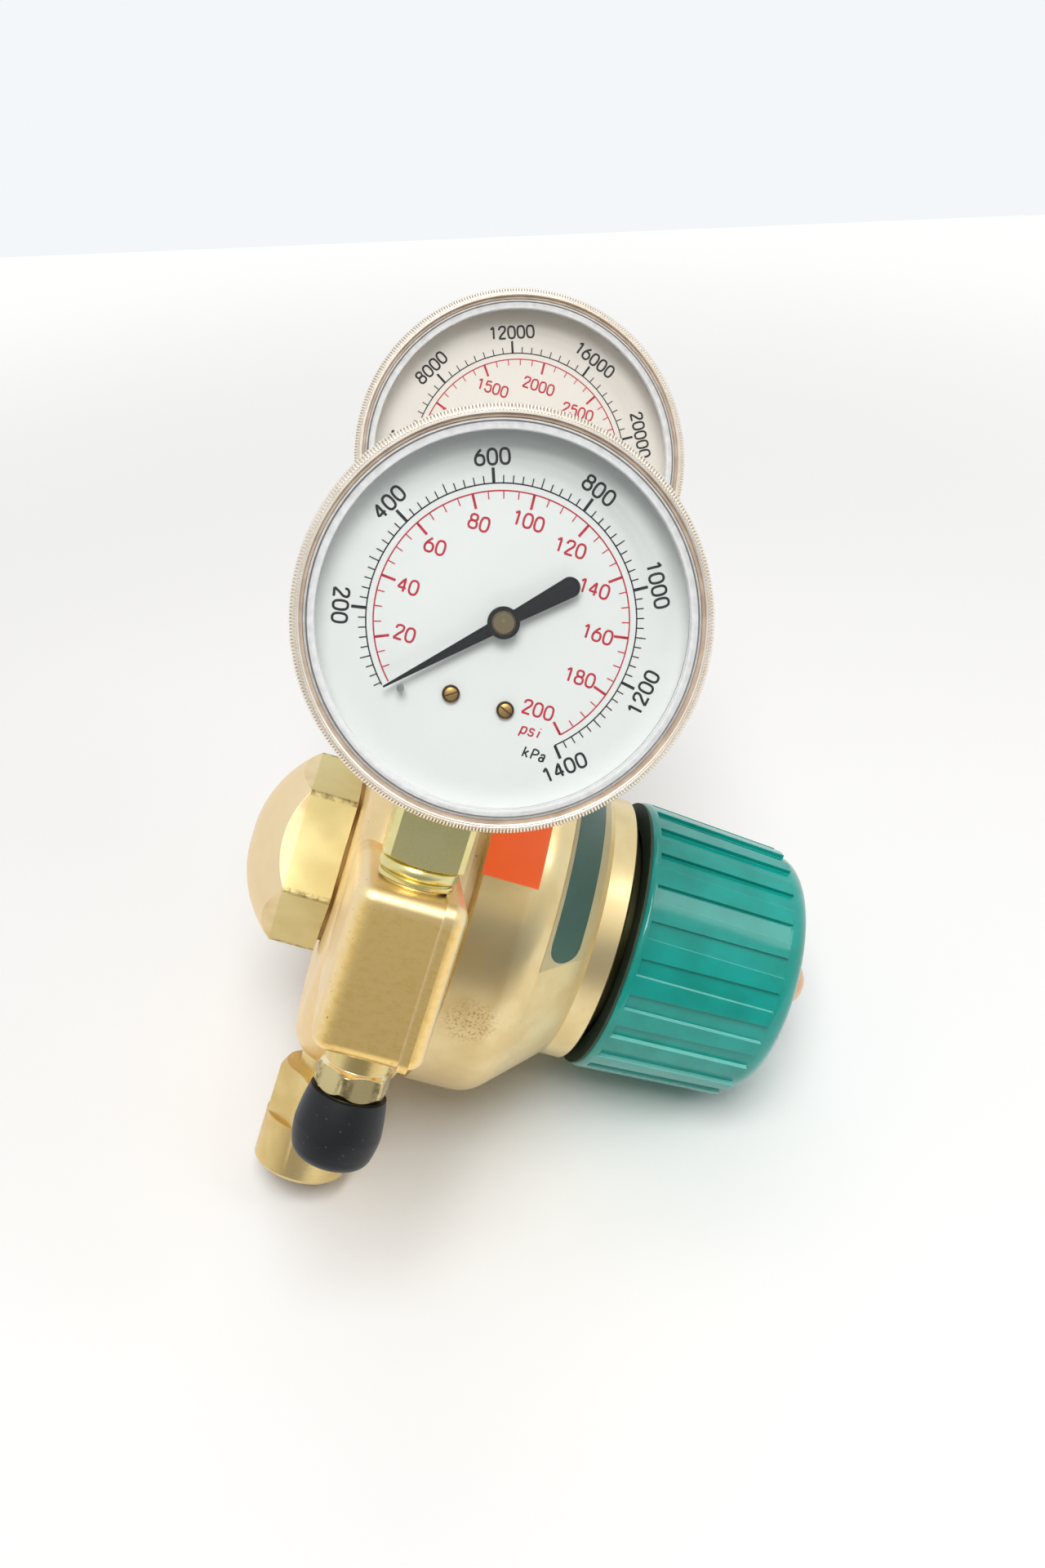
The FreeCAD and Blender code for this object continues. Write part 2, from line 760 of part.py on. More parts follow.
def make_knob():
    """Tapered plastic knob with grip grooves open at the front, held by an acorn nut."""
    knob = turned("knob_turned", "X", [
        ("knob_back", "knob_hollow"),
        ("knob_back", "knob_back_radius - knob_lip", "round", "knob_lip"),
        ("knob_back + knob_lip", "knob_back_radius"),
        ("rib_end_x", "rib_end_radius"),
        ("rib_end_x", "rib_end_radius - rib_step", "round", "knob_edge"),
        ("knob_front", "rib_end_radius - rib_step - knob_edge"),
        ("knob_front", "hub_bore"),
        ("hub_back", "hub_bore"),
        ("hub_back", "knob_hollow"),
    ])
    fall = "(knob_back_radius - rib_end_radius) / (rib_end_x - knob_back - knob_lip)"
    lean = math.degrees(math.atan(amount_of(fall)))
    flute = knob.newObject("PartDesign::SubtractiveWedge", "flute")
    for prop, text in (("Xmin", "-flute_rear_width / 2"), ("Xmax", "flute_rear_width / 2"),
                       ("X2min", "-flute_front_width / 2"), ("X2max", "flute_front_width / 2"),
                       ("Ymin", "0"), ("Ymax", "rib_end_x - flute_start + 1"),
                       ("Zmin", "0"), ("Zmax", "flute_depth + 2"),
                       ("Z2min", "0"), ("Z2max", "flute_depth + 2")):
        bind(flute, prop, text)
    flute.Placement = Placement(Vector(), Rotation(Vector(0, 1, 0), lean)
                                * Rotation(Vector(0, 0, 1), -90))
    bind(flute, "Placement.Base.x", "flute_start")
    drop = f"(flute_start - knob_back - knob_lip) * {fall}"
    bind(flute, "Placement.Base.z", f"knob_back_radius - {drop} - flute_depth")
    ring = knob.newObject("PartDesign::PolarPattern", "flutes")
    ring.Originals = [flute]
    axis = [f for f in knob.Origin.OriginFeatures if f.Role == "X_Axis"][0]
    ring.Axis = (axis, [""])
    ring.Angle = 360
    bind(ring, "Occurrences", "flute_count")
    knob.Tip = ring
    phase = Rotation(Vector(1, 0, 0), amount_of("flute_phase"))
    finish("knob", knob, Placement(Vector(), phase))
    acorn = turned("acorn_turned", "X", [
        ("knob_front", "acorn_bore"),
        ("knob_front", "acorn_flats / 2 / cos(30) - 0.5"),
        ("knob_front + 0.6", "acorn_flats / 2 / cos(30)"),
        ("acorn_hex_end - 0.8", "acorn_flats / 2 / cos(30)"),
        ("acorn_hex_end", "acorn_barrel"),
        ("acorn_end - 5", "acorn_barrel", "round", "6"),
        ("acorn_end", "1.5"),
        ("acorn_end", "0"),
        ("spindle_front + 0.3", "0"),
        ("spindle_front + 0.3", "acorn_bore"),
    ])
    nut = flats("acorn_nut", acorn, 6, "acorn_flats", "knob_front - 1", "acorn_hex_end")
    finish("knob_nut", nut)


def make_outlet():
    """Delivery fitting with a hexagon, and the vinyl cap pushed over its stub."""
    fitting = turned("outlet_turned", "Z", [
        ("block_bottom + 9", "outlet_way"),
        ("block_bottom + 9", "outlet_thread"),
        ("block_bottom", "outlet_thread"),
        ("block_bottom", "outlet_neck"),
        ("outlet_hex_top", "outlet_neck"),
        ("outlet_hex_top - 0.8", "outlet_corner"),
        ("outlet_hex_end + 1.2", "outlet_corner"),
        ("outlet_hex_end", "outlet_flats / 2 - 0.1"),
        ("outlet_hex_end", "outlet_stub"),
        ("outlet_end + 0.6", "outlet_stub"),
        ("outlet_end", "outlet_stub - 0.6"),
        ("outlet_end", "outlet_way"),
    ])
    hexed = flats("outlet_hex", fitting, 6, "outlet_flats", "outlet_hex_end",
                  "outlet_hex_top", "Z", 16)
    place = column_at("outlet_x", "port_column")
    finish("outlet_fitting", hexed, place)
    finish("outlet_cap", turned("dust_cap_turned", "Z", [
        ("dust_cap_rim", "dust_cap_bore"),
        ("dust_cap_rim", "dust_cap_rim_radius", "round", "40"),
        ("dust_cap_belly", "dust_cap_radius", "round", "18"),
        ("dust_cap_end + 2.6", "dust_cap_radius - 0.6", "round", "3.2"),
        ("dust_cap_end", "dust_cap_radius - 3.4"),
        ("dust_cap_end", "0"),
        ("dust_cap_floor", "0"),
        ("dust_cap_floor", "dust_cap_bore"),
    ]), place)


def make_relief_valve():
    """Relief valve: hexagon milled on round bar, poppet, plain spring sleeve, vented plug."""
    place = column_at("relief_x", "relief_y")
    shell = turned("relief_turned", "Z", [
        ("relief_port_end - 1", "relief_orifice"),
        ("relief_port_end - 1", "relief_neck"),
        ("relief_hex_top", "relief_neck"),
        ("relief_hex_top", "relief_radius - 1.2"),
        ("relief_hex_top - 0.8", "relief_radius"),
        ("relief_end + 1", "relief_radius"),
        ("relief_end", "relief_radius - 1"),
        ("relief_end", "relief_vent"),
        ("relief_vent_start", "relief_vent"),
        ("relief_vent_start", "relief_bore"),
        ("relief_seat", "relief_bore"),
        ("relief_seat", "relief_orifice"),
    ])
    hexed = flats("relief_hex", shell, 6, "relief_flats", "relief_hex_end",
                  "relief_hex_top", "Z", 12)
    finish("relief_body", hexed, place)
    finish("relief_poppet", turned("relief_poppet_turned", "Z", [
        ("relief_seat - 0.1", "0"),
        ("relief_seat - 0.1", "relief_head"),
        ("relief_head_back", "relief_head"),
        ("relief_head_back", "relief_tail"),
        ("relief_tail_end", "relief_tail"),
        ("relief_tail_end", "0"),
    ]), place)
    finish("relief_spring", turned("relief_spring_sleeve", "Z", [
        ("relief_head_back - 0.05", "relief_coil - relief_wire / 2"),
        ("relief_head_back - 0.05", "relief_coil + relief_wire / 2"),
        ("relief_plug_top", "relief_coil + relief_wire / 2"),
        ("relief_plug_top", "relief_coil - relief_wire / 2"),
    ]), place)
    finish("relief_plug", turned("relief_plug_turned", "Z", [
        ("relief_plug_top", "relief_tail + 0.4"),
        ("relief_plug_top", "relief_plug"),
        ("relief_vent_start", "relief_plug"),
        ("relief_vent_start", "relief_tail + 0.4"),
    ]), place)


def make_inlet():
    """Inlet nipple, the hexagonal coupling on it and the sintered filter inside."""
    backward = Placement(Vector(), TURNS["Y"])
    finish("inlet_nipple", turned("nipple_turned", "Z", [
        ("inlet_thread_start", "inlet_way"),
        ("inlet_thread_start", "inlet_thread"),
        ("seat_height", "inlet_thread"),
        ("seat_height", "inlet_collar"),
        ("inlet_collar_end", "inlet_collar"),
        ("inlet_collar_end + 1", "inlet_barrel"),
        ("inlet_barrel_end", "inlet_barrel"),
        ("inlet_barrel_end", "inlet_tail"),
        ("inlet_tail_end", "inlet_tail"),
        ("inlet_tail_end", "inlet_way"),
    ]), backward)
    corner = "coupling_flats / 2 / cos(30)"
    coupling = turned("coupling_turned", "Z", [
        ("coupling_start", "coupling_bore"),
        ("coupling_start", "coupling_flats / 2"),
        ("coupling_start + 1.4", corner),
        ("coupling_end - 1.4", corner),
        ("coupling_end", "coupling_flats / 2"),
        ("coupling_end", "inlet_mouth"),
        ("filter_end", "inlet_mouth"),
        ("filter_end", "filter_radius + 0.05"),
        ("filter_start", "filter_radius + 0.05"),
        ("filter_start", "inlet_way"),
        ("coupling_floor", "inlet_way"),
        ("coupling_floor", "coupling_bore"),
    ])
    hexed = flats("coupling_hex", coupling, 6, "coupling_flats", "coupling_start - 1",
                  "coupling_end + 1", "Z", 0)
    finish("inlet_coupling", hexed, backward)
    finish("inlet_filter", turned("filter_turned", "Z", [
        ("filter_start", "0"),
        ("filter_start", "filter_radius"),
        ("filter_end", "filter_radius"),
        ("filter_end", "0"),
    ]), backward)


def make_gauge_shell(gauge, centre):
    """Case, bezel, crystal and dial of one gauge."""
    case = turned(gauge + "_case_cup", "Z", [
        ("case_back", "0"),
        ("case_back", "case_radius - 1.5", "round", "1.5"),
        ("case_back + 1.5", "case_radius"),
        ("case_front", "case_radius"),
        ("case_front", "case_radius - case_wall"),
        ("case_back + case_wall", "case_radius - case_wall"),
        ("case_back + case_wall", "0"),
    ])
    slot = block(gauge + "_case_slot",
                 ("stem_flats + 0.2", "case_radius + stem_top + 2", "stem_flats + 0.2"),
                 ("-stem_flats / 2 - 0.1", "-case_radius - 1", "-stem_flats / 2 - 0.1"))
    finish(gauge + "_case", cut(gauge + "_case_open", case, [slot]), centre)
    finish(gauge + "_bezel", turned(gauge + "_bezel_ring", "Z", [
        ("bezel_back", "case_radius + 0.05"),
        ("bezel_back", "bezel_radius - 0.3"),
        ("bezel_front - 1", "bezel_radius", "round", "1"),
        ("bezel_front", "bezel_radius - 1"),
        ("bezel_front", "bezel_opening + 0.5"),
        ("bezel_front - 0.6", "bezel_opening"),
        ("case_front", "bezel_opening"),
        ("case_front", "case_radius + 0.05"),
    ]), centre)
    finish(gauge + "_crystal", turned(gauge + "_crystal_cup", "Z", [
        ("case_front", "crystal_inner"),
        ("case_front", "bezel_opening - 0.05"),
        ("case_front + 1.4", "bezel_opening - 0.05"),
        ("case_front + 1.6", "crystal_radius"),
        ("crystal_front - 0.5", "crystal_radius"),
        ("crystal_front", "crystal_radius - 0.5"),
        ("crystal_front", "0"),
        ("crystal_front - crystal_thick", "0"),
        ("crystal_front - crystal_thick", "crystal_inner"),
    ]), centre)
    plate = turned(gauge + "_dial_plate", "Z", [
        ("case_front", "dial_hole"),
        ("case_front", "dial_radius"),
        ("case_front + dial_thick", "dial_radius"),
        ("case_front + dial_thick", "dial_hole"),
    ])
    holes = [
        rod(f"{gauge}_dial_hole_{side}", "screw_shank + 0.05", "3", (x, "screw_y", "case_front - 1"))
        for side, x in (("left", "-screw_x"), ("right", "screw_x"))
    ]
    finish(gauge + "_dial", cut(gauge + "_dial_drilled", plate, holes), centre)


def make_gauge_face(gauge, centre):
    """What stands on the dial: two screws, the stop pin and the pointer on its hub."""
    face = "case_front + dial_thick"
    post = "movement_front + movement_plate"
    screws = []
    for side, x in (("left", "-screw_x"), ("right", "screw_x")):
        screws.append(rod(f"{gauge}_head_{side}", "screw_head", "screw_head_thick",
                          (x, "screw_y", face)))
        screws.append(rod(f"{gauge}_shank_{side}", "screw_shank", f"{face} - ({post})",
                          (x, "screw_y", post)))
    finish(gauge + "_dial_screws", fused(gauge + "_screws", screws), centre)
    pin = turned(gauge + "_pin", "Z", [
        (face, "0"),
        (face, "stop_pin_radius"),
        ("stop_pin_top", "stop_pin_radius"),
        ("stop_pin_top", "0"),
    ])
    finish(gauge + "_stop_pin", pin, centre * column_at("stop_pin_x", "stop_pin_y"))
    blade = slab(gauge + "_pointer_blade", "XY_Plane", [
        ("pointer_tip", "-0.15"),
        ("pointer_tip", "0.15"),
        ("2", "pointer_root_half"),
        ("-2", "pointer_root_half"),
        ("-pointer_tail", "pointer_tail_half", "round", "pointer_tail_half + 0.02"),
        ("-pointer_tail", "-pointer_tail_half"),
        ("-2", "-pointer_root_half"),
        ("2", "-pointer_root_half"),
    ], "pointer_thick", "pointer_back")
    hub = turned(gauge + "_pointer_hub", "Z", [
        ("pointer_back - 0.3", "0"),
        ("pointer_back - 0.3", "hub_ring"),
        ("pointer_back + 0.9", "hub_ring"),
        ("pointer_back + 0.9", "hub_cap"),
        ("pointer_back + 1.3", "hub_cap - 0.3"),
        ("pointer_back + 1.3", "0"),
    ])
    finish(gauge + "_pointer", fused(gauge + "_pointer_solid", [blade, hub]),
           centre * spun("pointer_zero"))
    finish(gauge + "_pinion_arbor", turned(gauge + "_arbor", "Z", [
        ("movement_back", "0"),
        ("movement_back", "arbor_radius"),
        ("3", "arbor_radius"),
        ("3", "pinion_radius"),
        ("6", "pinion_radius"),
        ("6", "arbor_radius"),
        ("pointer_back - 0.3", "arbor_radius"),
        ("pointer_back - 0.3", "0"),
    ]), centre)


def make_gauge_movement(gauge, centre):
    """The movement's two plates and pillars, the sector, the tube and its link."""
    plate_size = ("2 * movement_half_width", "movement_top - movement_bottom", "movement_plate")
    pieces = [
        block(gauge + "_plate_back", plate_size,
              ("-movement_half_width", "movement_bottom", "movement_back")),
        block(gauge + "_plate_front", plate_size,
              ("-movement_half_width", "movement_bottom", "movement_front")),
    ]
    for side, x in (("left", "-pillar_x"), ("right", "pillar_x")):
        for end, y in (("low", "movement_bottom + 2"), ("high", "movement_top - 2")):
            pieces.append(rod(f"{gauge}_pillar_{end}_{side}", "pillar_radius",
                              "movement_front - movement_back", (x, y, "movement_back")))
    for side, x in (("left", "-screw_x"), ("right", "screw_x")):
        start = "movement_front + movement_plate - 0.2"
        post = rod(f"{gauge}_post_{side}", "screw_head", f"case_front - ({start})",
                   (x, "screw_y", start))
        hole = rod(f"{gauge}_post_hole_{side}", "screw_shank", "case_front",
                   (x, "screw_y", "movement_front + movement_plate"))
        pieces.append(cut(f"{gauge}_post_drilled_{side}", post, [hole]))
    deep = "movement_front - movement_back + 2 * movement_plate"
    holes = [
        rod(gauge + "_arbor_hole", "arbor_radius + 0.05", deep, ("0", "0", "movement_back - 1")),
        rod(gauge + "_pivot_hole", "0.95", deep, ("0", "sector_pivot", "movement_back - 1")),
    ]
    frame = cut(gauge + "_frame", fused(gauge + "_frame_solid", pieces), holes)
    finish(gauge + "_movement", frame, centre)

    reach = "sector_radius"
    half = "sector_half_angle"
    fan = slab(gauge + "_fan", "XY_Plane", [
        ("-1.6", "-sector_pin - 1.2"),
        ("1.6", "-sector_pin - 1.2"),
        ("1.6", "0"),
        (f"{reach} * sin({half})", f"{reach} * cos({half})", "round", reach),
        (f"-{reach} * sin({half})", f"{reach} * cos({half})"),
        ("-1.6", "0"),
    ], "2", "3.2")
    pivot = rod(gauge + "_pivot", "0.9", "movement_front - movement_back",
                ("0", "0", "movement_back"))
    tail_pin = rod(gauge + "_tail_pin", "sector_pin_radius", "link_back + link_thick - 4",
                   ("0", "-sector_pin", "4.2"))
    at_rest = column_at("0", "sector_pivot") * spun("sector_start")
    finish(gauge + "_sector", fused(gauge + "_sector_solid", [fan, pivot, tail_pin]),
           centre * at_rest)

    tube = turned(gauge + "_tube_ring", "Z", [
        ("tube_back", "tube_radius - tube_thick / 2"),
        ("tube_back", "tube_radius + tube_thick / 2"),
        ("tube_back + tube_width", "tube_radius + tube_thick / 2"),
        ("tube_back + tube_width", "tube_radius - tube_thick / 2"),
    ], "tube_sweep")
    top = "tube_back + tube_width"
    tip_pin = rod(gauge + "_tip_pin", "sector_pin_radius", f"link_back + link_thick + 0.4 - ({top})",
                  ("tube_radius", "link_width / 2", top))
    finish(gauge + "_bourdon_tube", fused(gauge + "_tube_solid", [tube, tip_pin]),
           centre * spun("tube_tip_angle"))

    pin = at_rest.multVec(Vector(0, -amount_of("sector_pin"), 0))
    tip = spun("tube_tip_angle").multVec(
        Vector(amount_of("tube_radius"), amount_of("link_width") / 2, 0))
    length = (tip - pin).Length
    end = "link_width / 2"
    bar = slab(gauge + "_link_bar", "XY_Plane", [
        ("0", f"-{end}"),
        (f"{length}", f"-{end}", "round", end + " + 0.001"),
        (f"{length}", end),
        ("0", end, "round", end + " + 0.001"),
    ], "link_thick", "link_back")
    eyes = [
        rod(f"{gauge}_link_eye_{number}", "sector_pin_radius + 0.05", "link_thick + 2",
            (f"{x}", "0", "link_back - 1"))
        for number, x in enumerate((0, length))
    ]
    reach_angle = math.degrees(math.atan2(tip.y - pin.y, tip.x - pin.x))
    at_pin = Placement(pin, Rotation(Vector(0, 0, 1), reach_angle))
    finish(gauge + "_link", cut(gauge + "_link_cut", bar, eyes), centre * at_pin)


def make_gauge_stem(gauge, upright):
    """The square stem with its seat bead and thread, and the block that holds the tube."""
    blank = turned(gauge + "_stem_turned", "Z", [
        ("stem_thread_end", "stem_way"),
        ("stem_thread_end", "port_radius - 0.05"),
        ("stem_seat", "port_radius - 0.05"),
        ("stem_seat", "stem_neck"),
        ("stem_seat + 1.5", "stem_neck"),
        ("stem_seat + 2.1", "stem_bead"),
        ("stem_seat + 3.2", "stem_bead"),
        ("stem_seat + 3.8", "stem_neck"),
        ("stem_flats_end", "stem_neck"),
        ("stem_flats_end", "stem_flats / 2"),
        ("stem_flats_end + 0.8", "stem_flats / 2 + 2.2"),
        ("stem_top", "stem_flats / 2 + 2.2"),
        ("stem_top", "stem_way"),
    ])
    square = flats(gauge + "_stem_square", blank, 4, "stem_flats", "stem_flats_end",
                   "stem_top + 1", "Z", 45)
    holder = block(gauge + "_stem_holder",
                   ("2 * stem_block_half", "movement_front + movement_plate + 4",
                    "movement_bottom - stem_top"),
                   ("-stem_block_half", "-movement_front - movement_plate", "stem_top"))
    finish(gauge + "_stem", fused(gauge + "_stem_solid", [square, holder]), upright)


def make_gauges():
    for gauge, y, height in (("delivery", "port_column", "low_gauge_height"),
                             ("supply", "0", "high_gauge_height")):
        middle = Vector(0, amount_of(y), amount_of(height))
        facing = Placement(middle, TURNS["-Y"])
        make_gauge_shell(gauge, facing)
        make_gauge_face(gauge, facing)
        make_gauge_movement(gauge, facing)
        make_gauge_stem(gauge, Placement(middle, Rotation()))


def set_on_bench():
    """Turn the whole regulator into its resting pose, centred on the bench's surface."""
    lean = Rotation(SIZES["bench_yaw"], SIZES["bench_pitch"], SIZES["bench_roll"])
    for thing, place in finished.values():
        thing.Placement = Placement(Vector(), lean) * place
    doc.recompute()
    whole = FreeCAD.BoundBox()
    for thing, place in finished.values():
        whole.add(thing.Shape.optimalBoundingBox(False, False))
    shift = Vector(-(whole.XMin + whole.XMax) / 2, -(whole.YMin + whole.YMax) / 2, -whole.ZMin)
    for thing, place in finished.values():
        thing.Placement = Placement(shift, lean) * place
    doc.recompute()
    print(f"bench shift {shift.x:.4f} {shift.y:.4f} {shift.z:.4f}")
    print(f"size {whole.XLength:.2f} {whole.YLength:.2f} {whole.ZLength:.2f}")


def check():
    """Stop when any object failed or any sub-part is not one valid solid."""
    bad = [thing.Label for thing in doc.Objects
           if "Invalid" in thing.State or "Error" in thing.State]
    for node, (thing, place) in finished.items():
        shape = thing.Shape
        if shape.isNull() or not shape.isValid() or not shape.Solids:
            bad.append(node)
    if bad:
        raise RuntimeError("these failed: " + ", ".join(bad))


def write():
    os.makedirs("parts", exist_ok=True)
    for node, (thing, place) in finished.items():
        thing.Shape.exportStep(f"parts/{node}.step")
    print(f"{len(finished)} sub-parts written")


make_forging()
make_rear_cap()
make_valve()
make_diaphragm()
make_bonnet()
make_adjuster()
make_knob()
make_outlet()
make_relief_valve()
make_inlet()
make_gauges()
doc.recompute()
check()
set_on_bench()
check()
write()
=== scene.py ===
"""Looks for the two-gauge brass gas regulator: metal finishes, printed dials, knurls, threads, studio.

Every piece is drawn in millimetres in one of the regulator's own frames and carried from there
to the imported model.  The regulator's frame has +X along the main axis to the knob, +Z up the
gauge stems and the dials facing -Y.
"""
import json
import math

import bmesh
import bpy
from mathutils import Euler, Matrix, Vector


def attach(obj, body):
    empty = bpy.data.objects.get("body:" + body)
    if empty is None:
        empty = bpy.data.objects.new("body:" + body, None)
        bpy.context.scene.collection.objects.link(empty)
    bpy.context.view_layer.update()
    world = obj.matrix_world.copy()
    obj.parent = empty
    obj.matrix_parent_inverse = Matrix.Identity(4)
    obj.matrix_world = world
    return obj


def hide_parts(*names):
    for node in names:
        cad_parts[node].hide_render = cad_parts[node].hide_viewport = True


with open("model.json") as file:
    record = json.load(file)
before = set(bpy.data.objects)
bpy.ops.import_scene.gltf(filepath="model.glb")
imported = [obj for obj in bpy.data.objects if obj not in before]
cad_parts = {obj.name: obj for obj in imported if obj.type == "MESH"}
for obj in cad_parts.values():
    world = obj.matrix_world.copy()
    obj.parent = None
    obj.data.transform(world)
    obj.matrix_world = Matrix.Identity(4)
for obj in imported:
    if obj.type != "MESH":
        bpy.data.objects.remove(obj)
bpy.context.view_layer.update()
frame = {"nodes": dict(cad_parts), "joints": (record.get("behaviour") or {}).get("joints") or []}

MM = 0.001
joints = {joint["name"]: joint for joint in frame["joints"]}


# Frames
def axes(x, y, z, origin):
    """A frame from its three unit axes and its origin."""
    return Matrix.Translation(origin) @ Matrix((x, y, z)).transposed().to_4x4()


def shifted(place, x=0, y=0, z=0):
    return place @ Matrix.Translation(Vector((x, y, z)) * MM)


def turned_about(place, axis, degrees):
    return place @ Matrix.Rotation(math.radians(degrees), 4, axis)


TO_KNOB = -Vector(joints["knob_turn"]["axis"])
TO_BACK = Vector(joints["delivery_pointer_turn"]["axis"])
UP_STEM = -Vector(joints["outlet_cap_pull"]["axis"])
KNOB_JOINT_STATION = 60
HOME = axes(TO_KNOB, TO_BACK, UP_STEM,
            Vector(joints["knob_turn"]["pos_m"]) - TO_KNOB * KNOB_JOINT_STATION * MM)
PORT_COLUMN, RIDGE_EDGE = -66.8, 5.65
MAIN_AXIS = turned_about(HOME, "Y", 90)
FRONT_STEM = shifted(HOME, y=PORT_COLUMN)
OUTLET = shifted(HOME, x=-0.3, y=PORT_COLUMN)
RELIEF = shifted(HOME, x=-1.2, y=-8)
INLET = turned_about(HOME, "X", -90)
GAUGES = {
    gauge: axes(TO_KNOB, UP_STEM, -TO_BACK, Vector(joints[gauge + "_pointer_turn"]["pos_m"]))
    for gauge in ("delivery", "supply")
}
STEMS = {"delivery": FRONT_STEM, "supply": HOME}


def tone(red, green, blue):
    """A colour as seen on a screen, 0 to 255, in the linear values that a shader takes."""
    seen = [part / 255 for part in (red, green, blue)]
    return tuple(v / 12.92 if v <= 0.04045 else ((v + 0.055) / 1.055) ** 2.4 for v in seen) + (1,)


# Node trees
class Wire:
    """An output socket.  Arithmetic on it adds Math nodes to its tree."""

    def __init__(self, tree, socket):
        self.tree, self.socket = tree, socket

    def maths(self, operation, *amounts):
        return self.tree.node("ShaderNodeMath", {"operation": operation}, dict(enumerate(amounts)))

    def out(self, name):
        return Wire(self.tree, self.socket.node.outputs[name])

    def __add__(self, other):
        return self.maths("ADD", self, other)

    def __radd__(self, other):
        return self.maths("ADD", other, self)

    def __sub__(self, other):
        return self.maths("SUBTRACT", self, other)

    def __rsub__(self, other):
        return self.maths("SUBTRACT", other, self)

    def __mul__(self, other):
        return self.maths("MULTIPLY", self, other)

    def __rmul__(self, other):
        return self.maths("MULTIPLY", other, self)

    def __truediv__(self, other):
        return self.maths("DIVIDE", self, other)

    def __pow__(self, other):
        return self.maths("POWER", self, other)

    def size(self):
        return self.maths("ABSOLUTE", self)

    def over(self, other):
        """The greater of the two."""
        return self.maths("MAXIMUM", self, other)

    def step(self, low, high):
        """0 below low, 1 above high and a soft step between them; low may be the greater."""
        return self.tree.node("ShaderNodeMapRange", {"interpolation_type": "SMOOTHSTEP"},
                              {"Value": self, "From Min": low, "From Max": high})


class Tree:
    """A node tree that is filled by one method."""

    def __init__(self, tree):
        self.tree = tree
        tree.nodes.clear()

    def node(self, kind, settings, sockets):
        """Add a node: settings first, then the values or links of its sockets."""
        made = self.tree.nodes.new(kind)
        for name, value in settings.items():
            setattr(made, name, value)
        for name, value in sockets.items():
            if isinstance(value, Wire):
                self.tree.links.new(value.socket, made.inputs[name])
            else:
                made.inputs[name].default_value = value
        return Wire(self, made.outputs[0]) if made.outputs else None


class Finish(Tree):
    """A material: one principled shader whose patterns follow the piece."""

    def __init__(self, name, slot, **plain):
        self.material = bpy.data.materials.new(name)
        self.material.use_nodes = True
        self.slot = slot
        super().__init__(self.material.node_tree)
        self.shader = self.node("ShaderNodeBsdfPrincipled", {}, {
            word.replace("_", " "): value for word, value in plain.items()})
        self.node("ShaderNodeOutputMaterial", {}, {"Surface": self.shader})

    def set(self, name, value):
        socket = self.shader.socket.node.inputs[name]
        if isinstance(value, Wire):
            self.tree.links.new(value.socket, socket)
        else:
            socket.default_value = value

    def across(self, place):
        """The piece's coordinates in one of the regulator's frames, in millimetres."""
        own = self.node("ShaderNodeTexCoord", {}, {}).out("Object")
        return self.node("ShaderNodeMapping", {"vector_type": "TEXTURE"}, {
            "Vector": own, "Location": place.to_translation(),
            "Rotation": place.to_euler(), "Scale": (MM, MM, MM)})

    def parts_of(self, vector):
        split = self.node("ShaderNodeSeparateXYZ", {}, {"Vector": vector})
        return [split.out(axis) for axis in "XYZ"]

    def joined(self, x, y, z):
        return self.node("ShaderNodeCombineXYZ", {}, {"X": x, "Y": y, "Z": z})

    def noise(self, vector, size, detail=2.0, rough=0.5):
        """Smooth noise whose features are about size millimetres across."""
        return self.node("ShaderNodeTexNoise", {}, {
            "Vector": vector, "Scale": 1 / size, "Detail": detail, "Roughness": rough})

    def mix(self, factor, first, second, kind="MIX"):
        mixed = self.node("ShaderNodeMix", {"data_type": "RGBA", "blend_type": kind},
                          {0: factor, 6: first, 7: second})
        return Wire(self, mixed.socket.node.outputs[2])

    def bump(self, height, depth):
        """Raise the surface by depth millimetres where height is 1."""
        self.set("Normal", self.node("ShaderNodeBump", {}, {
            "Height": height, "Distance": depth * MM, "Strength": 1.0}))


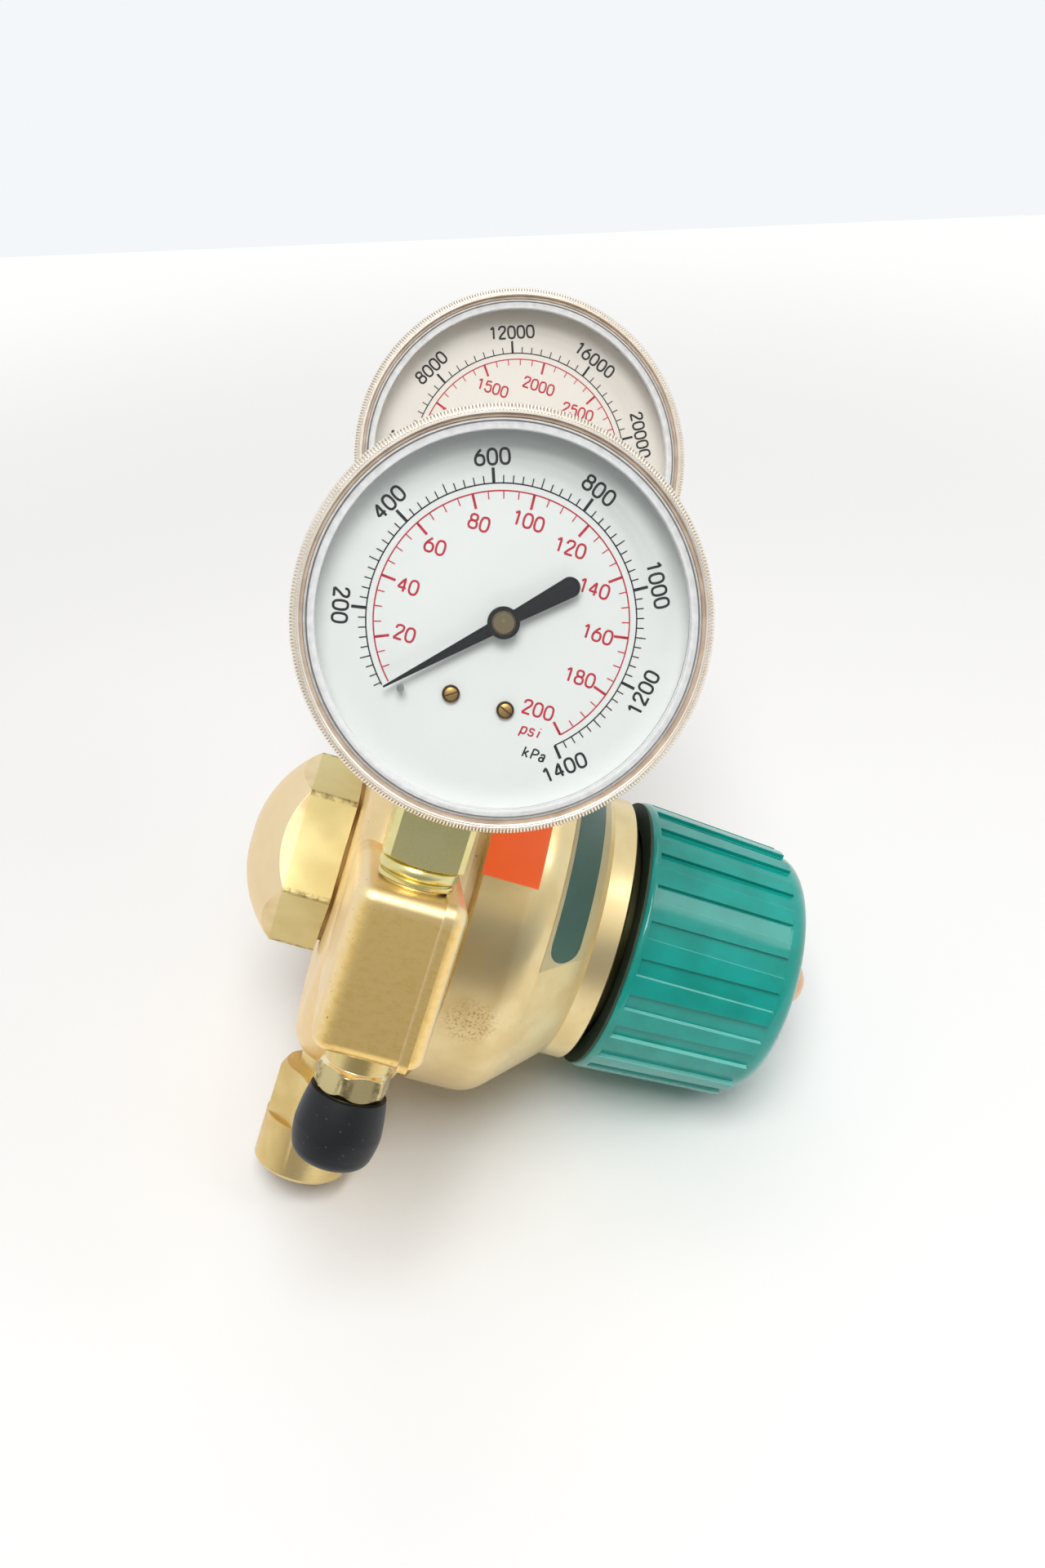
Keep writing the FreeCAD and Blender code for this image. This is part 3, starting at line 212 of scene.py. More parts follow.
# Finishes
def forged_brass():
    """Tumbled forging: fine grain, soft mottling and pits; the block's edges are lighter, partly as rubbed
    wear and partly as painted highlight, with painted highlights on its top shoulder and along the parting
    ridge.
    """
    look = Finish("forged_brass_skin", "forged_brass", Metallic=1.0)
    at = look.across(HOME)
    x, y, z = look.parts_of(at)
    cloud = look.noise(at, 14, 3).step(0.35, 0.65)
    streaked = look.joined(x * 0.75, y, z * 1.2)
    mottle = look.noise(streaked, 1.3, 4, 0.6)
    grain = look.noise(at, 0.3, 2)
    pits = look.noise(at, 0.55, 1).step(0.70, 0.78) * look.noise(at, 9, 1).step(0.45, 0.65)
    on_block = y.step(-46, -50)
    on_face = y.step(-75.5, -77)
    colour = look.mix(cloud, tone(238, 210, 156), tone(246, 219, 170))
    colour = look.mix(on_face * 0.9, colour, tone(255, 218, 138))
    colour = look.mix(mottle.step(0.4, 0.7) * (0.12 + on_face * 0.33), colour, tone(224, 182, 98))
    # Lighter block edges: partly rubbed wear, partly painted highlight
    worn_and_lit_edges = (x.size().step(7.2, 9.8) * (y.step(-73.5, -76.6) + z.step(11, 13.8))).step(0.1, 1) * on_block
    colour = look.mix(worn_and_lit_edges * mottle.step(0.75, 0.35) * 0.7, colour, tone(244, 218, 164))
    # Painted highlight: the block's top shoulder is lighter, as if lit from above
    painted_top_highlight = z.step(10.4, 12.8) * on_block
    colour = look.mix(painted_top_highlight * 0.6, colour, tone(250, 228, 180))
    # Painted highlight: a thin bright line along the parting ridge's edge
    painted_ridge_highlight = (x - RIDGE_EDGE).size().step(0.45, 0.15) * on_face
    colour = look.mix(painted_ridge_highlight * 0.35, colour, tone(255, 240, 204))
    colour = look.mix(pits * 0.8, colour, tone(112, 82, 44))
    look.set("Base Color", colour)
    look.set("Roughness", 0.32 + mottle * 0.12 - worn_and_lit_edges * 0.06 + painted_top_highlight * 0.06)
    look.bump(mottle * 0.5 + grain * 0.25 - pits * 0.8, 0.03)
    return look


def turned_brass(name, slot, place, light, dark, rough, feed=0.16, depth=0.005, smudge=0.35):
    """Lathe-turned brass: feed lines about the frame's Z axis, smudges and fine specks."""
    look = Finish(name, slot, Metallic=1.0)
    at = look.across(place)
    x, y, z = look.parts_of(at)
    out = (x * x + y * y) ** 0.5
    lines = look.noise(look.joined(out, z, 0.0), feed, 1)
    cloud = look.noise(at, 9, 3).step(0.32, 0.7)
    spots = look.noise(at, 0.4, 1).step(0.71, 0.8) * look.noise(at, 6, 1).step(0.5, 0.7)
    colour = look.mix(cloud, light, dark)
    colour = look.mix(lines.step(0.3, 0.7) * 0.18, colour, dark)
    colour = look.mix(spots * 0.7, colour, tone(100, 78, 46))
    look.set("Base Color", colour)
    look.set("Roughness", rough + cloud * smudge * 0.3 + lines * 0.08)
    look.bump(lines, depth)
    return look, at, colour


def milled_brass(name, slot, place, shades, rough, reach, corner, smudge=0.35):
    """Turned brass with a milled hexagon about Z.

    shades are the turned brass, light and dark, the flats, and the colours of the chamfers that face along +Z
    and -Z, painted highlight and painted shade.
    reach is the hexagon's lowest and highest station, and corner its radius at the corners.
    """
    light, dark, flat, above, below = shades
    look, at, colour = turned_brass(name, slot, place, light, dark, rough, 0.28, 0.003, smudge)
    x, y, z = look.parts_of(at)
    facing = look.node("ShaderNodeNewGeometry", {}, {}).out("Normal")
    along = look.node("ShaderNodeVectorMath", {"operation": "DOT_PRODUCT"},
                      {0: facing, 1: place.to_3x3() @ Vector((0, 0, 1))}).out("Value")
    low, high = reach
    on_hex = z.step(low - 0.4, low) * z.step(high + 0.4, high)
    colour = look.mix(along.size().step(0.12, 0.05) * on_hex * 0.85, colour, flat)
    # Chamfers facing along +Z take a painted highlight, those facing along -Z a painted shade
    colour = look.mix(along.step(0.12, 0.3) * 0.85, colour, above)
    colour = look.mix((0 - along).step(0.12, 0.3) * 0.85, colour, below)
    edge = along.size().step(0.03, 0.08) * along.size().step(0.26, 0.16)
    edge = edge + ((x * x + y * y) ** 0.5).step(corner - 0.55, corner - 0.3)
    dirt = edge * on_hex * look.noise(at, 1.6, 4, 0.7).step(0.35, 0.65)
    colour = look.mix(dirt * 0.65, colour, tone(104, 84, 44))
    look.set("Base Color", colour)
    return look


def bonnet_brass():
    """The bonnet's turned brass with the speckled stain low on its side, a browner skirt beside the block
    that is partly tarnish and partly painted shade, and a painted dark end inside the knob's mouth.
    """
    look, at, colour = turned_brass("bonnet_skin", "turned_brass", MAIN_AXIS,
                                    tone(236, 216, 166), tone(226, 202, 148), 0.25, 0.3, 0.003)
    own = look.across(HOME)
    x, y, z = look.parts_of(own)
    low = math.radians(-22)
    middle = Vector((21.5, -43.8 * math.cos(low), 43.8 * math.sin(low)))
    away = look.node("ShaderNodeVectorMath", {"operation": "DISTANCE"}, {0: own, 1: middle})
    away = Wire(look, away.socket.node.outputs["Value"])
    specks = look.noise(own, 0.55, 2, 0.6).step(0.5, 0.62) * away.step(7.5, 2.0)
    bloom = away.step(9.0, 1.0) * look.noise(own, 3, 2).step(0.3, 0.7)
    colour = look.mix(bloom * 0.3, colour, tone(196, 162, 98))
    colour = look.mix(specks * 0.65, colour, tone(136, 104, 52))
    # Browner skirt beside the block: partly tarnish, partly painted shade where the block shades it
    skirt = x.step(27, 24) * z.size().step(30, 14)
    colour = look.mix(skirt * 0.35, colour, tone(168, 134, 72))
    # Painted shade: the bonnet's end past station 48.6, inside the knob's mouth, is darkened
    look.set("Base Color", look.mix(x.step(48.6, 48.95), colour, tone(84, 82, 54)))
    return look


def plastic(name, slot, colour, dark, rough, coat, grain, depth, dust=0.0, shine=0.5, flank_highlight=None):
    """Moulded plastic or vinyl: faint mottling, moulding grain and a little dust.

    The last colour is a painted highlight on the groove walls that face one way about the main axis; the
    walls that face the other way get painted shade in the dark colour.
    """
    look = Finish(name, slot, Coat_Weight=coat, Coat_Roughness=0.1, Specular_IOR_Level=shine)
    at = look.across(HOME)
    cloud = look.noise(at, 8, 3)
    fine = look.noise(at, grain, 2)
    scuff = look.noise(look.joined(*[p * k for p, k in zip(look.parts_of(at), (0.25, 1.6, 1.1))]),
                       0.9, 2).step(0.66, 0.74)
    shade = look.mix(cloud.step(0.3, 0.75), colour, dark)
    specks = look.noise(at, 0.35, 1).step(0.74, 0.8)
    shade = look.mix(specks * dust, shade, tone(190, 200, 200))
    if flank_highlight:
        _, y, z = look.parts_of(at)
        facing = look.node("ShaderNodeNewGeometry", {}, {}).out("Normal")
        across, up = [look.node("ShaderNodeVectorMath", {"operation": "DOT_PRODUCT"},
                                {0: facing, 1: HOME.to_3x3() @ Vector(axis)}).out("Value")
                      for axis in ((0, 1, 0), (0, 0, 1))]
        aside = (across * z - up * y) / (y * y + z * z) ** 0.5
        # Painted highlight on groove walls facing one way, painted shade on those facing the other
        shade = look.mix(aside.step(0.2, 0.6) * 0.75, shade, flank_highlight)
        shade = look.mix((0 - aside).step(0.25, 0.6) * 0.6, shade, dark)
    look.set("Base Color", shade)
    look.set("Roughness", rough + cloud * 0.08 + scuff * 0.1)
    look.bump(fine + scuff * 0.3, depth)
    return look


def plain_metal(name, slot, light, dark, rough, metal=1.0):
    """Small hidden or half-hidden metal parts: soft colour clouds and brushed roughness."""
    look = Finish(name, slot, Metallic=metal)
    at = look.across(HOME)
    cloud = look.noise(at, 3, 3)
    look.set("Base Color", look.mix(cloud.step(0.3, 0.7), light, dark))
    look.set("Roughness", rough + look.noise(at, 0.4, 2) * 0.12)
    look.bump(look.noise(at, 0.3, 1), 0.004)
    return look


def dial_paint(gauge, paper, shade):
    """White enamel with painted shade: a little greyer in soft rings towards the top of the dial, as the
    rim's shadow.
    """
    look = Finish(gauge + "_dial_paint", "dial_white", Specular_IOR_Level=0.4)
    at = look.across(GAUGES[gauge])
    x, y, z = look.parts_of(at)
    out = (x * x + y * y) ** 0.5
    rings = look.noise(look.joined(out, y * 0.12, 0.0), 2.4, 1).step(0.3, 0.7)
    # Painted shade: greyer soft rings towards the top edge, where the rim shades the dial
    top = (y + x * 0.15).step(4, 30) * out.step(20, 27)
    colour = look.mix(top * (0.45 + rings * 0.5), paper, shade)
    look.set("Base Color", colour)
    look.set("Roughness", 0.38 + look.noise(at, 2, 2) * 0.08)
    look.bump(look.noise(at, 0.5, 2), 0.003)
    return look


def pointer_paint(gauge):
    """Black enamel with a bare brass disc, spotted in its middle, on the hub."""
    look = Finish(gauge + "_pointer_paint", "pointer_black", Specular_IOR_Level=0.2)
    at = look.across(GAUGES[gauge])
    x, y, z = look.parts_of(at)
    out = (x * x + y * y) ** 0.5
    disc = out.step(2.02, 1.9) * z.step(15.0, 15.15)
    mottle = look.noise(at, 0.5, 2)
    brass = look.mix(mottle.step(0.55, 0.75) * out.step(0.9, 0.2), tone(140, 127, 98),
                     tone(236, 220, 160))
    look.set("Base Color", look.mix(disc, look.mix(mottle, tone(14, 16, 19), tone(26, 28, 31)), brass))
    look.set("Metallic", disc * 0.8)
    look.set("Roughness", 0.42 - disc * 0.1 + mottle * 0.1)
    look.bump(mottle, 0.004)
    return look


def clear_window(gauge):
    """Clear acrylic: see-through, mirror-like at grazing angles, with a painted whitish reflection where its
    rim turns.
    """
    look = Finish(gauge + "_window_clear", "clear_window", Roughness=0.04)
    at = look.across(GAUGES[gauge])
    x, y, z = look.parts_of(at)
    out = (x * x + y * y) ** 0.5
    # Painted reflection: a whitish, mottled band near the crystal's rim
    rim = out.step(30.2, 30.5) * (0.5 + look.noise(at, 1.6, 2) * 0.4)
    line = out.step(31.4, 31.5) * out.step(31.8, 31.7)
    look.set("Base Color", look.mix(line, tone(252, 253, 253), tone(128, 126, 124)))
    bare = look.node("ShaderNodeBsdfTransparent", {}, {"Color": (0.997, 1, 0.998, 1)})
    gloss = look.node("ShaderNodeFresnel", {}, {"IOR": 1.28})
    mixed = look.node("ShaderNodeMixShader", {}, {
        0: gloss.over(rim).over(line * 0.6), 1: bare, 2: look.shader})
    look.tree.links.new(mixed.socket, look.tree.nodes["Material Output"].inputs["Surface"])
    return look


def print_ink(name, colour, paler):
    look = Finish(name, "dial_white", Specular_IOR_Level=0.3)
    at = look.across(HOME)
    look.set("Base Color", look.mix(look.noise(at, 1.5, 2).step(0.3, 0.7), colour, paler))
    look.set("Roughness", 0.5 + look.noise(at, 0.6, 2) * 0.1)
    return look


BRASS_LIGHT, BRASS_DARK = tone(232, 208, 146), tone(214, 186, 120)
forging_skin = forged_brass()
bonnet_skin = bonnet_brass()
cap_skin = milled_brass("rear_cap_skin", "bright_brass", MAIN_AXIS, (
    tone(242, 222, 178), tone(228, 206, 160), tone(220, 205, 146), tone(246, 226, 176),
    tone(243, 221, 182)), 0.44, (-22, -11.8), 22, 0.5)
outlet_skin = milled_brass("outlet_skin", "bright_brass", OUTLET, (
    BRASS_LIGHT, BRASS_DARK, tone(206, 190, 142), tone(252, 238, 196), tone(104, 92, 52)),
    0.16, (-25.7, -20.4), 7.05)
relief_skin = turned_brass("relief_skin", "turned_brass", RELIEF,
                           tone(230, 206, 146), tone(218, 188, 124), 0.22)[0]
inlet_skin = turned_brass("inlet_skin", "turned_brass", INLET, BRASS_LIGHT, BRASS_DARK, 0.22)[0]
nut_skin = turned_brass("acorn_skin", "bright_brass", MAIN_AXIS,
                        tone(226, 190, 156), tone(206, 164, 126), 0.2)[0]
# The knob's last colour is the painted highlight on one side of its groove walls
teal_skin = plastic("knob_teal", "teal_plastic", tone(0, 162, 150), tone(0, 147, 134),
                    0.3, 0.8, 0.6, 0.003, 0.0, 0.15, tone(150, 226, 218))
# Painted shade: dark olive for the shadowed gap in the knob's mouth
mouth_shade_skin = plastic("knob_hollow_dark", "teal_plastic", tone(52, 70, 50), tone(44, 60, 44),
                      0.6, 0.0, 0.6, 0.003)
vinyl_skin = plastic("cap_vinyl", "black_vinyl", tone(24, 25, 28), tone(18, 19, 22),
                     0.4, 0.0, 0.35, 0.008, 0.35, 0.35)
steel_skin = plain_metal("ground_steel", "steel", tone(190, 190, 188), tone(150, 150, 150), 0.28)
spring_skin = plain_metal("spring_wire", "spring_steel", tone(120, 120, 124), tone(84, 84, 88), 0.32)
seal_skin = plastic("seal_brown", "seal_rubber", tone(168, 130, 66), tone(146, 110, 54),
                    0.6, 0.0, 0.4, 0.008)
filter_skin = plain_metal("sintered_bronze", "sintered", tone(170, 132, 84), tone(120, 88, 54), 0.6)
case_skin = plain_metal("case_lacquer", "case_metal", tone(216, 207, 192), tone(209, 200, 184), 0.34)
bezel_skin = plain_metal("bezel_champagne", "bezel_metal", tone(252, 244, 232),
                         tone(246, 236, 222), 0.26)
# Painted shade: brown for the shadow where the bezel's lip meets the crystal
lip_shade_skin = plain_metal("groove_brown", "bezel_metal", tone(204, 184, 164), tone(182, 160, 140),
                          0.5, 0.3)
movement_skin = plain_metal("movement_brass", "turned_brass", tone(206, 172, 104),
                            tone(180, 146, 84), 0.3)
screw_skin = plain_metal("screw_brass", "turned_brass", tone(198, 158, 92), tone(140, 108, 60), 0.34)
slot_skin = plain_metal("screw_rim", "turned_brass", tone(112, 88, 52), tone(84, 64, 38), 0.4)
stem_skins = {
    gauge: turned_brass(gauge + "_stem_skin", "turned_brass", STEMS[gauge],
                        tone(244, 232, 170), tone(226, 213, 148), 0.2, 0.25, 0.002)[0]
    for gauge in GAUGES
}
dial_skins = {
    "delivery": dial_paint("delivery", tone(246, 249, 247), tone(214, 218, 216)),
    "supply": dial_paint("supply", tone(242, 236, 228), tone(222, 215, 206)),
}
pointer_skins = {gauge: pointer_paint(gauge) for gauge in GAUGES}
window_skins = {gauge: clear_window(gauge) for gauge in GAUGES}
black_ink = print_ink("ink_black", tone(20, 20, 24), tone(34, 34, 38))
red_ink = print_ink("ink_red", tone(204, 30, 54), tone(212, 50, 70))
paper_skin = plastic("label_paper", "dial_white", tone(222, 206, 152), tone(212, 194, 138),
                     0.35, 0.3, 0.8, 0.002)
stripe_skin = plastic("label_green", "dial_white", tone(50, 100, 84), tone(44, 90, 76),
                      0.4, 0.2, 0.8, 0.002)
patch_skin = plastic("patch_orange", "dial_white", tone(255, 120, 40), tone(255, 112, 36),
                     0.4, 0.15, 0.8, 0.002)
# The orange patch glows a little: painted light that keeps it bright in the gauge's shade, standing in part
# for fluorescent ink
patch_skin.set("Emission Color", tone(255, 64, 14))
patch_skin.set("Emission Strength", 0.3)

NODE_SKINS = {
    forging_skin: ["body_forging"],
    bonnet_skin: ["bonnet"],
    movement_skin: ["seat_nozzle", "spring_nut", "relief_poppet", "relief_plug"],
    steel_skin: ["poppet", "diaphragm", "slip_ring", "diaphragm_plate", "adjusting_spindle",
                 "thrust_washer"],
    spring_skin: ["poppet_spring", "main_spring", "relief_spring"],
    filter_skin: ["inlet_filter"],
    vinyl_skin: ["outlet_cap"],
}
for gauge in GAUGES:
    NODE_SKINS[case_skin] = NODE_SKINS.get(case_skin, []) + [gauge + "_case"]
    NODE_SKINS[movement_skin] += [gauge + part for part in (
        "_movement", "_sector", "_link", "_bourdon_tube")]
    NODE_SKINS[steel_skin] += [gauge + "_stop_pin", gauge + "_pinion_arbor"]
    NODE_SKINS[dial_skins[gauge]] = [gauge + "_dial"]
    NODE_SKINS[pointer_skins[gauge]] = [gauge + "_pointer"]
    NODE_SKINS[window_skins[gauge]] = [gauge + "_crystal"]


# Mesh helpers
SHARP_ANGLE = 32


def smoothed(mesh, angle=SHARP_ANGLE):
    """Shade a mesh smooth, except over edges sharper than the angle in degrees."""
    mesh.polygons.foreach_set("use_smooth", [True] * len(mesh.polygons))
    mesh.set_sharp_from_angle(angle=math.radians(angle))
    return mesh


def shown(name, data):
    thing = bpy.data.objects.new(name, data)
    bpy.context.scene.collection.objects.link(thing)
    return thing


def coated(mesh, skin):
    mesh.materials.clear()
    mesh.materials.append(skin.material)


def piece(name, mesh, place, skin, body, *stands_for):
    """Carry a mesh drawn in millimetres to its place, and let it ride on a body."""
    if place is not None:
        mesh.transform(place @ Matrix.Scale(MM, 4))
    coated(mesh, skin)
    thing = shown(name, mesh)
    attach(thing, body)
    if stands_for:
        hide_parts(*stands_for)


def plain_mesh(thing):
    """The evaluated shape of an object as a plain mesh; the object is removed."""
    seen = bpy.context.evaluated_depsgraph_get()
    mesh = bpy.data.meshes.new_from_object(thing.evaluated_get(seen), depsgraph=seen)
    bpy.data.objects.remove(thing)
    return mesh


def lathe(points, steps=160):
    """A closed profile of (height, radius) points turned about Z."""
    work = bmesh.new()
    rings = []
    for height, radius in points:
        if radius == 0:
            rings.append([work.verts.new((0, 0, height))])
            continue
        turn = 2 * math.pi / steps
        rings.append([work.verts.new((radius * math.cos(i * turn), radius * math.sin(i * turn), height))
                      for i in range(steps)])
    for lower, upper in zip(rings, rings[1:] + rings[:1]):
        if len(lower) == len(upper) == 1:
            continue
        for i in range(steps):
            j = (i + 1) % steps
            corners = [lower[i % len(lower)], lower[j % len(lower)],
                       upper[j % len(upper)], upper[i % len(upper)]]
            work.faces.new(list(dict.fromkeys(corners)))
    bmesh.ops.recalc_face_normals(work, faces=work.faces)
    mesh = bpy.data.meshes.new("lathe")
    work.to_mesh(mesh)
    work.free()
    return smoothed(mesh)


def softened(node, skin, body, width):
    """A copy of a CAD node with its sharp edges rounded over, in place of the node."""
    mesh = frame["nodes"][node].data.copy()
    if "custom_normal" in mesh.attributes:
        mesh.attributes.remove(mesh.attributes["custom_normal"])
    work = bmesh.new()
    work.from_mesh(mesh)
    bmesh.ops.remove_doubles(work, verts=work.verts, dist=0.003 * MM)
    bmesh.ops.dissolve_limit(work, angle_limit=math.radians(0.4), verts=work.verts,
                             edges=work.edges)
    work.to_mesh(mesh)
    work.free()
    thing = shown(node + "_edges", smoothed(mesh))
    bevel = thing.modifiers.new("edges", "BEVEL")
    bevel.width = width * MM
    bevel.segments = 2
    bevel.limit_method = "ANGLE"
    bevel.angle_limit = math.radians(SHARP_ANGLE)
    weigh = thing.modifiers.new("shade", "WEIGHTED_NORMAL")
    weigh.keep_sharp = True
    piece(node + "_soft_edged", plain_mesh(thing), None, skin, body, node)


for skin, nodes in NODE_SKINS.items():
    for node in nodes:
        coated(frame["nodes"][node].data, skin)


# Geometry trees
def growing_tree(name, sizes):
    """A geometry tree with a shape, named sizes and a finish going in, and a shape coming out."""
    group = bpy.data.node_groups.new(name, "GeometryNodeTree")
    tree = Tree(group)
    group.interface.new_socket("Shape", in_out="INPUT", socket_type="NodeSocketGeometry")
    for size, value in sizes.items():
        kind = "NodeSocketInt" if isinstance(value, int) else "NodeSocketFloat"
        group.interface.new_socket(size, in_out="INPUT", socket_type=kind).default_value = value
    group.interface.new_socket("Finish", in_out="INPUT", socket_type="NodeSocketMaterial")
    group.interface.new_socket("Grown", in_out="OUTPUT", socket_type="NodeSocketGeometry")
    given = tree.node("NodeGroupInput", {}, {})
    return tree, given


def end_tree(tree, given, shape):
    whole = tree.node("GeometryNodeRealizeInstances", {}, {"Geometry": shape})
    finished = tree.node("GeometryNodeSetMaterial", {}, {
        "Geometry": whole, "Material": given.out("Finish")})
    tree.node("NodeGroupOutput", {}, {"Grown": finished})
    return tree.tree


def spread_tree():
    """Copies of a shape turned about Z, each one step after the last."""
    tree, given = growing_tree("spread_around", {"Count": 12, "First": 0.0, "Step": 30.0})
    spots = tree.node("GeometryNodePoints", {}, {"Count": given.out("Count")})
    number = tree.node("GeometryNodeInputIndex", {}, {})
    angle = (given.out("First") + number * given.out("Step")) * math.radians(1)
    turn = tree.node("ShaderNodeCombineXYZ", {}, {"Z": angle})
    copies = tree.node("GeometryNodeInstanceOnPoints", {}, {
        "Points": spots, "Instance": given.out("Shape"), "Rotation": turn})
    return end_tree(tree, given, copies)


def rib_tree():
    """A path thickened to a round rib, then spread evenly around Z."""
    tree, given = growing_tree("ribs_around", {"Count": 360, "Thickness": 0.5})
    path = tree.node("GeometryNodeMeshToCurve", {}, {"Mesh": given.out("Shape")})
    round_ = tree.node("GeometryNodeCurvePrimitiveCircle", {}, {
        "Resolution": 6, "Radius": given.out("Thickness") / 2})
    rib = tree.node("GeometryNodeCurveToMesh", {}, {
        "Curve": path, "Profile Curve": round_, "Fill Caps": True})
    spots = tree.node("GeometryNodePoints", {}, {"Count": given.out("Count")})
    number = tree.node("GeometryNodeInputIndex", {}, {})
    turn = tree.node("ShaderNodeCombineXYZ", {}, {"Z": number * (2 * math.pi) / given.out("Count")})
    ribs = tree.node("GeometryNodeInstanceOnPoints", {}, {
        "Points": spots, "Instance": rib, "Rotation": turn})
    return end_tree(tree, given, ribs)


def thread_tree():
    """A screw thread: a three-sided crest swept along a helix about Z."""
    tree, given = growing_tree("screw_thread", {
        "Turns": 4.0, "Radius": 6.0, "Pitch": 1.4, "Crest": 0.4})
    helix = tree.node("GeometryNodeCurveSpiral", {}, {
        "Resolution": 48, "Rotations": given.out("Turns"), "Start Radius": given.out("Radius"),
        "End Radius": given.out("Radius"), "Height": given.out("Turns") * given.out("Pitch")})
    crest = tree.node("GeometryNodeCurvePrimitiveCircle", {}, {
        "Resolution": 4, "Radius": given.out("Crest")})
    thread = tree.node("GeometryNodeCurveToMesh", {}, {
        "Curve": helix, "Profile Curve": crest, "Fill Caps": True})
    return end_tree(tree, given, thread)


SPREAD, RIBS, THREAD = spread_tree(), rib_tree(), thread_tree()


def grown(tree, seed, skin, **sizes):
    """The plain mesh that a geometry tree grows from a seed mesh."""
    holder = shown("seed", seed or bpy.data.meshes.new("nothing"))
    grow = holder.modifiers.new("grow", "NODES")
    grow.node_group = tree
    for socket in tree.interface.items_tree:
        if socket.in_out == "INPUT" and socket.name in sizes:
            grow[socket.identifier] = sizes[socket.name]
        if socket.name == "Finish":
            grow[socket.identifier] = skin.material
    return plain_mesh(holder)


def polyline(points):
    mesh = bpy.data.meshes.new("path")
    mesh.from_pydata(points, [(i, i + 1) for i in range(len(points) - 1)], [])
    return mesh


# Softened CAD pieces, the seal under the cap, and collars over the stems' seats
for node, skin, body, width in (
        ("knob", teal_skin, "knob_body", 0.38), ("knob_nut", nut_skin, "knob_body", 0.25),
        ("rear_cap", cap_skin, "regulator", 0.5), ("body_forging", forging_skin, "regulator", 0.35),
        ("outlet_fitting", outlet_skin, "regulator", 0.25),
        ("relief_body", relief_skin, "regulator", 0.3),
        ("inlet_nipple", inlet_skin, "regulator", 0.25),
        ("inlet_coupling", inlet_skin, "regulator", 0.35)):
    softened(node, skin, body, width)
for gauge in GAUGES:
    softened(gauge + "_stem", stem_skins[gauge], "regulator", 0.2)
# A dark ring in the knob's mouth: painted shade for the shadowed gap between bonnet and knob
mouth = lathe([(51.7, 26.0), (51.7, 31.2), (52.2, 31.2), (52.2, 26.0)])
piece("knob_mouth_shade_ring", mouth, MAIN_AXIS, mouth_shade_skin, "knob_body")
washer = lathe([(-11.78, 14.1), (-11.78, 19.3), (-11.02, 19.3), (-11.02, 14.1)])
piece("rear_cap_washer", washer, MAIN_AXIS, seal_skin, "regulator", "rear_cap_seal")
STEM_SEATS = {"delivery": 14.6, "supply": 45.6}
for gauge, seat in STEM_SEATS.items():
    collar = lathe([(seat + up, radius) for up, radius in (
        (0.5, 5.8), (0.5, 6.75), (0.7, 6.95), (1.2, 6.95), (1.4, 6.75), (1.4, 6.1), (1.9, 6.1),
        (1.9, 6.6), (2.2, 7.05), (2.7, 7.25), (3.4, 7.25), (3.9, 7.05), (4.2, 6.6), (4.2, 5.8))])
    piece(gauge + "_stem_collar", collar, STEMS[gauge], stem_skins[gauge], "regulator")


# Bezels
BEZEL_LIP, BEZEL_FRONT, RIB_COUNT = 32.75, 18.4, 380
for gauge, place in GAUGES.items():
    ring = lathe([
        (8.4, 32.06), (8.4, 33.7), (8.8, 33.95), (17.1, 33.95), (17.65, 33.8), (18.1, 33.45),
        (BEZEL_FRONT, 33.1), (BEZEL_FRONT, 32.95), (18.25, BEZEL_LIP), (13.6, BEZEL_LIP),
        (13.6, 32.5), (12.02, 32.5), (12.02, 32.06),
    ], 240)
    piece(gauge + "_bezel_ring", ring, place, bezel_skin, "regulator", gauge + "_bezel")
    rib_path = polyline([(34.22, 0, 9.1), (34.27, 0, 9.4), (34.27, 0, 17.1), (34.1, 0, 17.65),
                         (33.75, 0, 18.05), (33.3, 0, 18.25)])
    ribs = grown(RIBS, rib_path, bezel_skin, Count=RIB_COUNT, Thickness=0.4)
    piece(gauge + "_bezel_knurl", smoothed(ribs, 50), place, bezel_skin, "regulator")
    # A brown band inside the bezel's lip: painted shade where the lip meets the crystal
    groove = lathe([(16.9, 32.2), (17.75, 32.2), (17.75, 32.74), (16.9, 32.74)], 200)
    piece(gauge + "_bezel_lip_shade", groove, place, lip_shade_skin, "regulator")


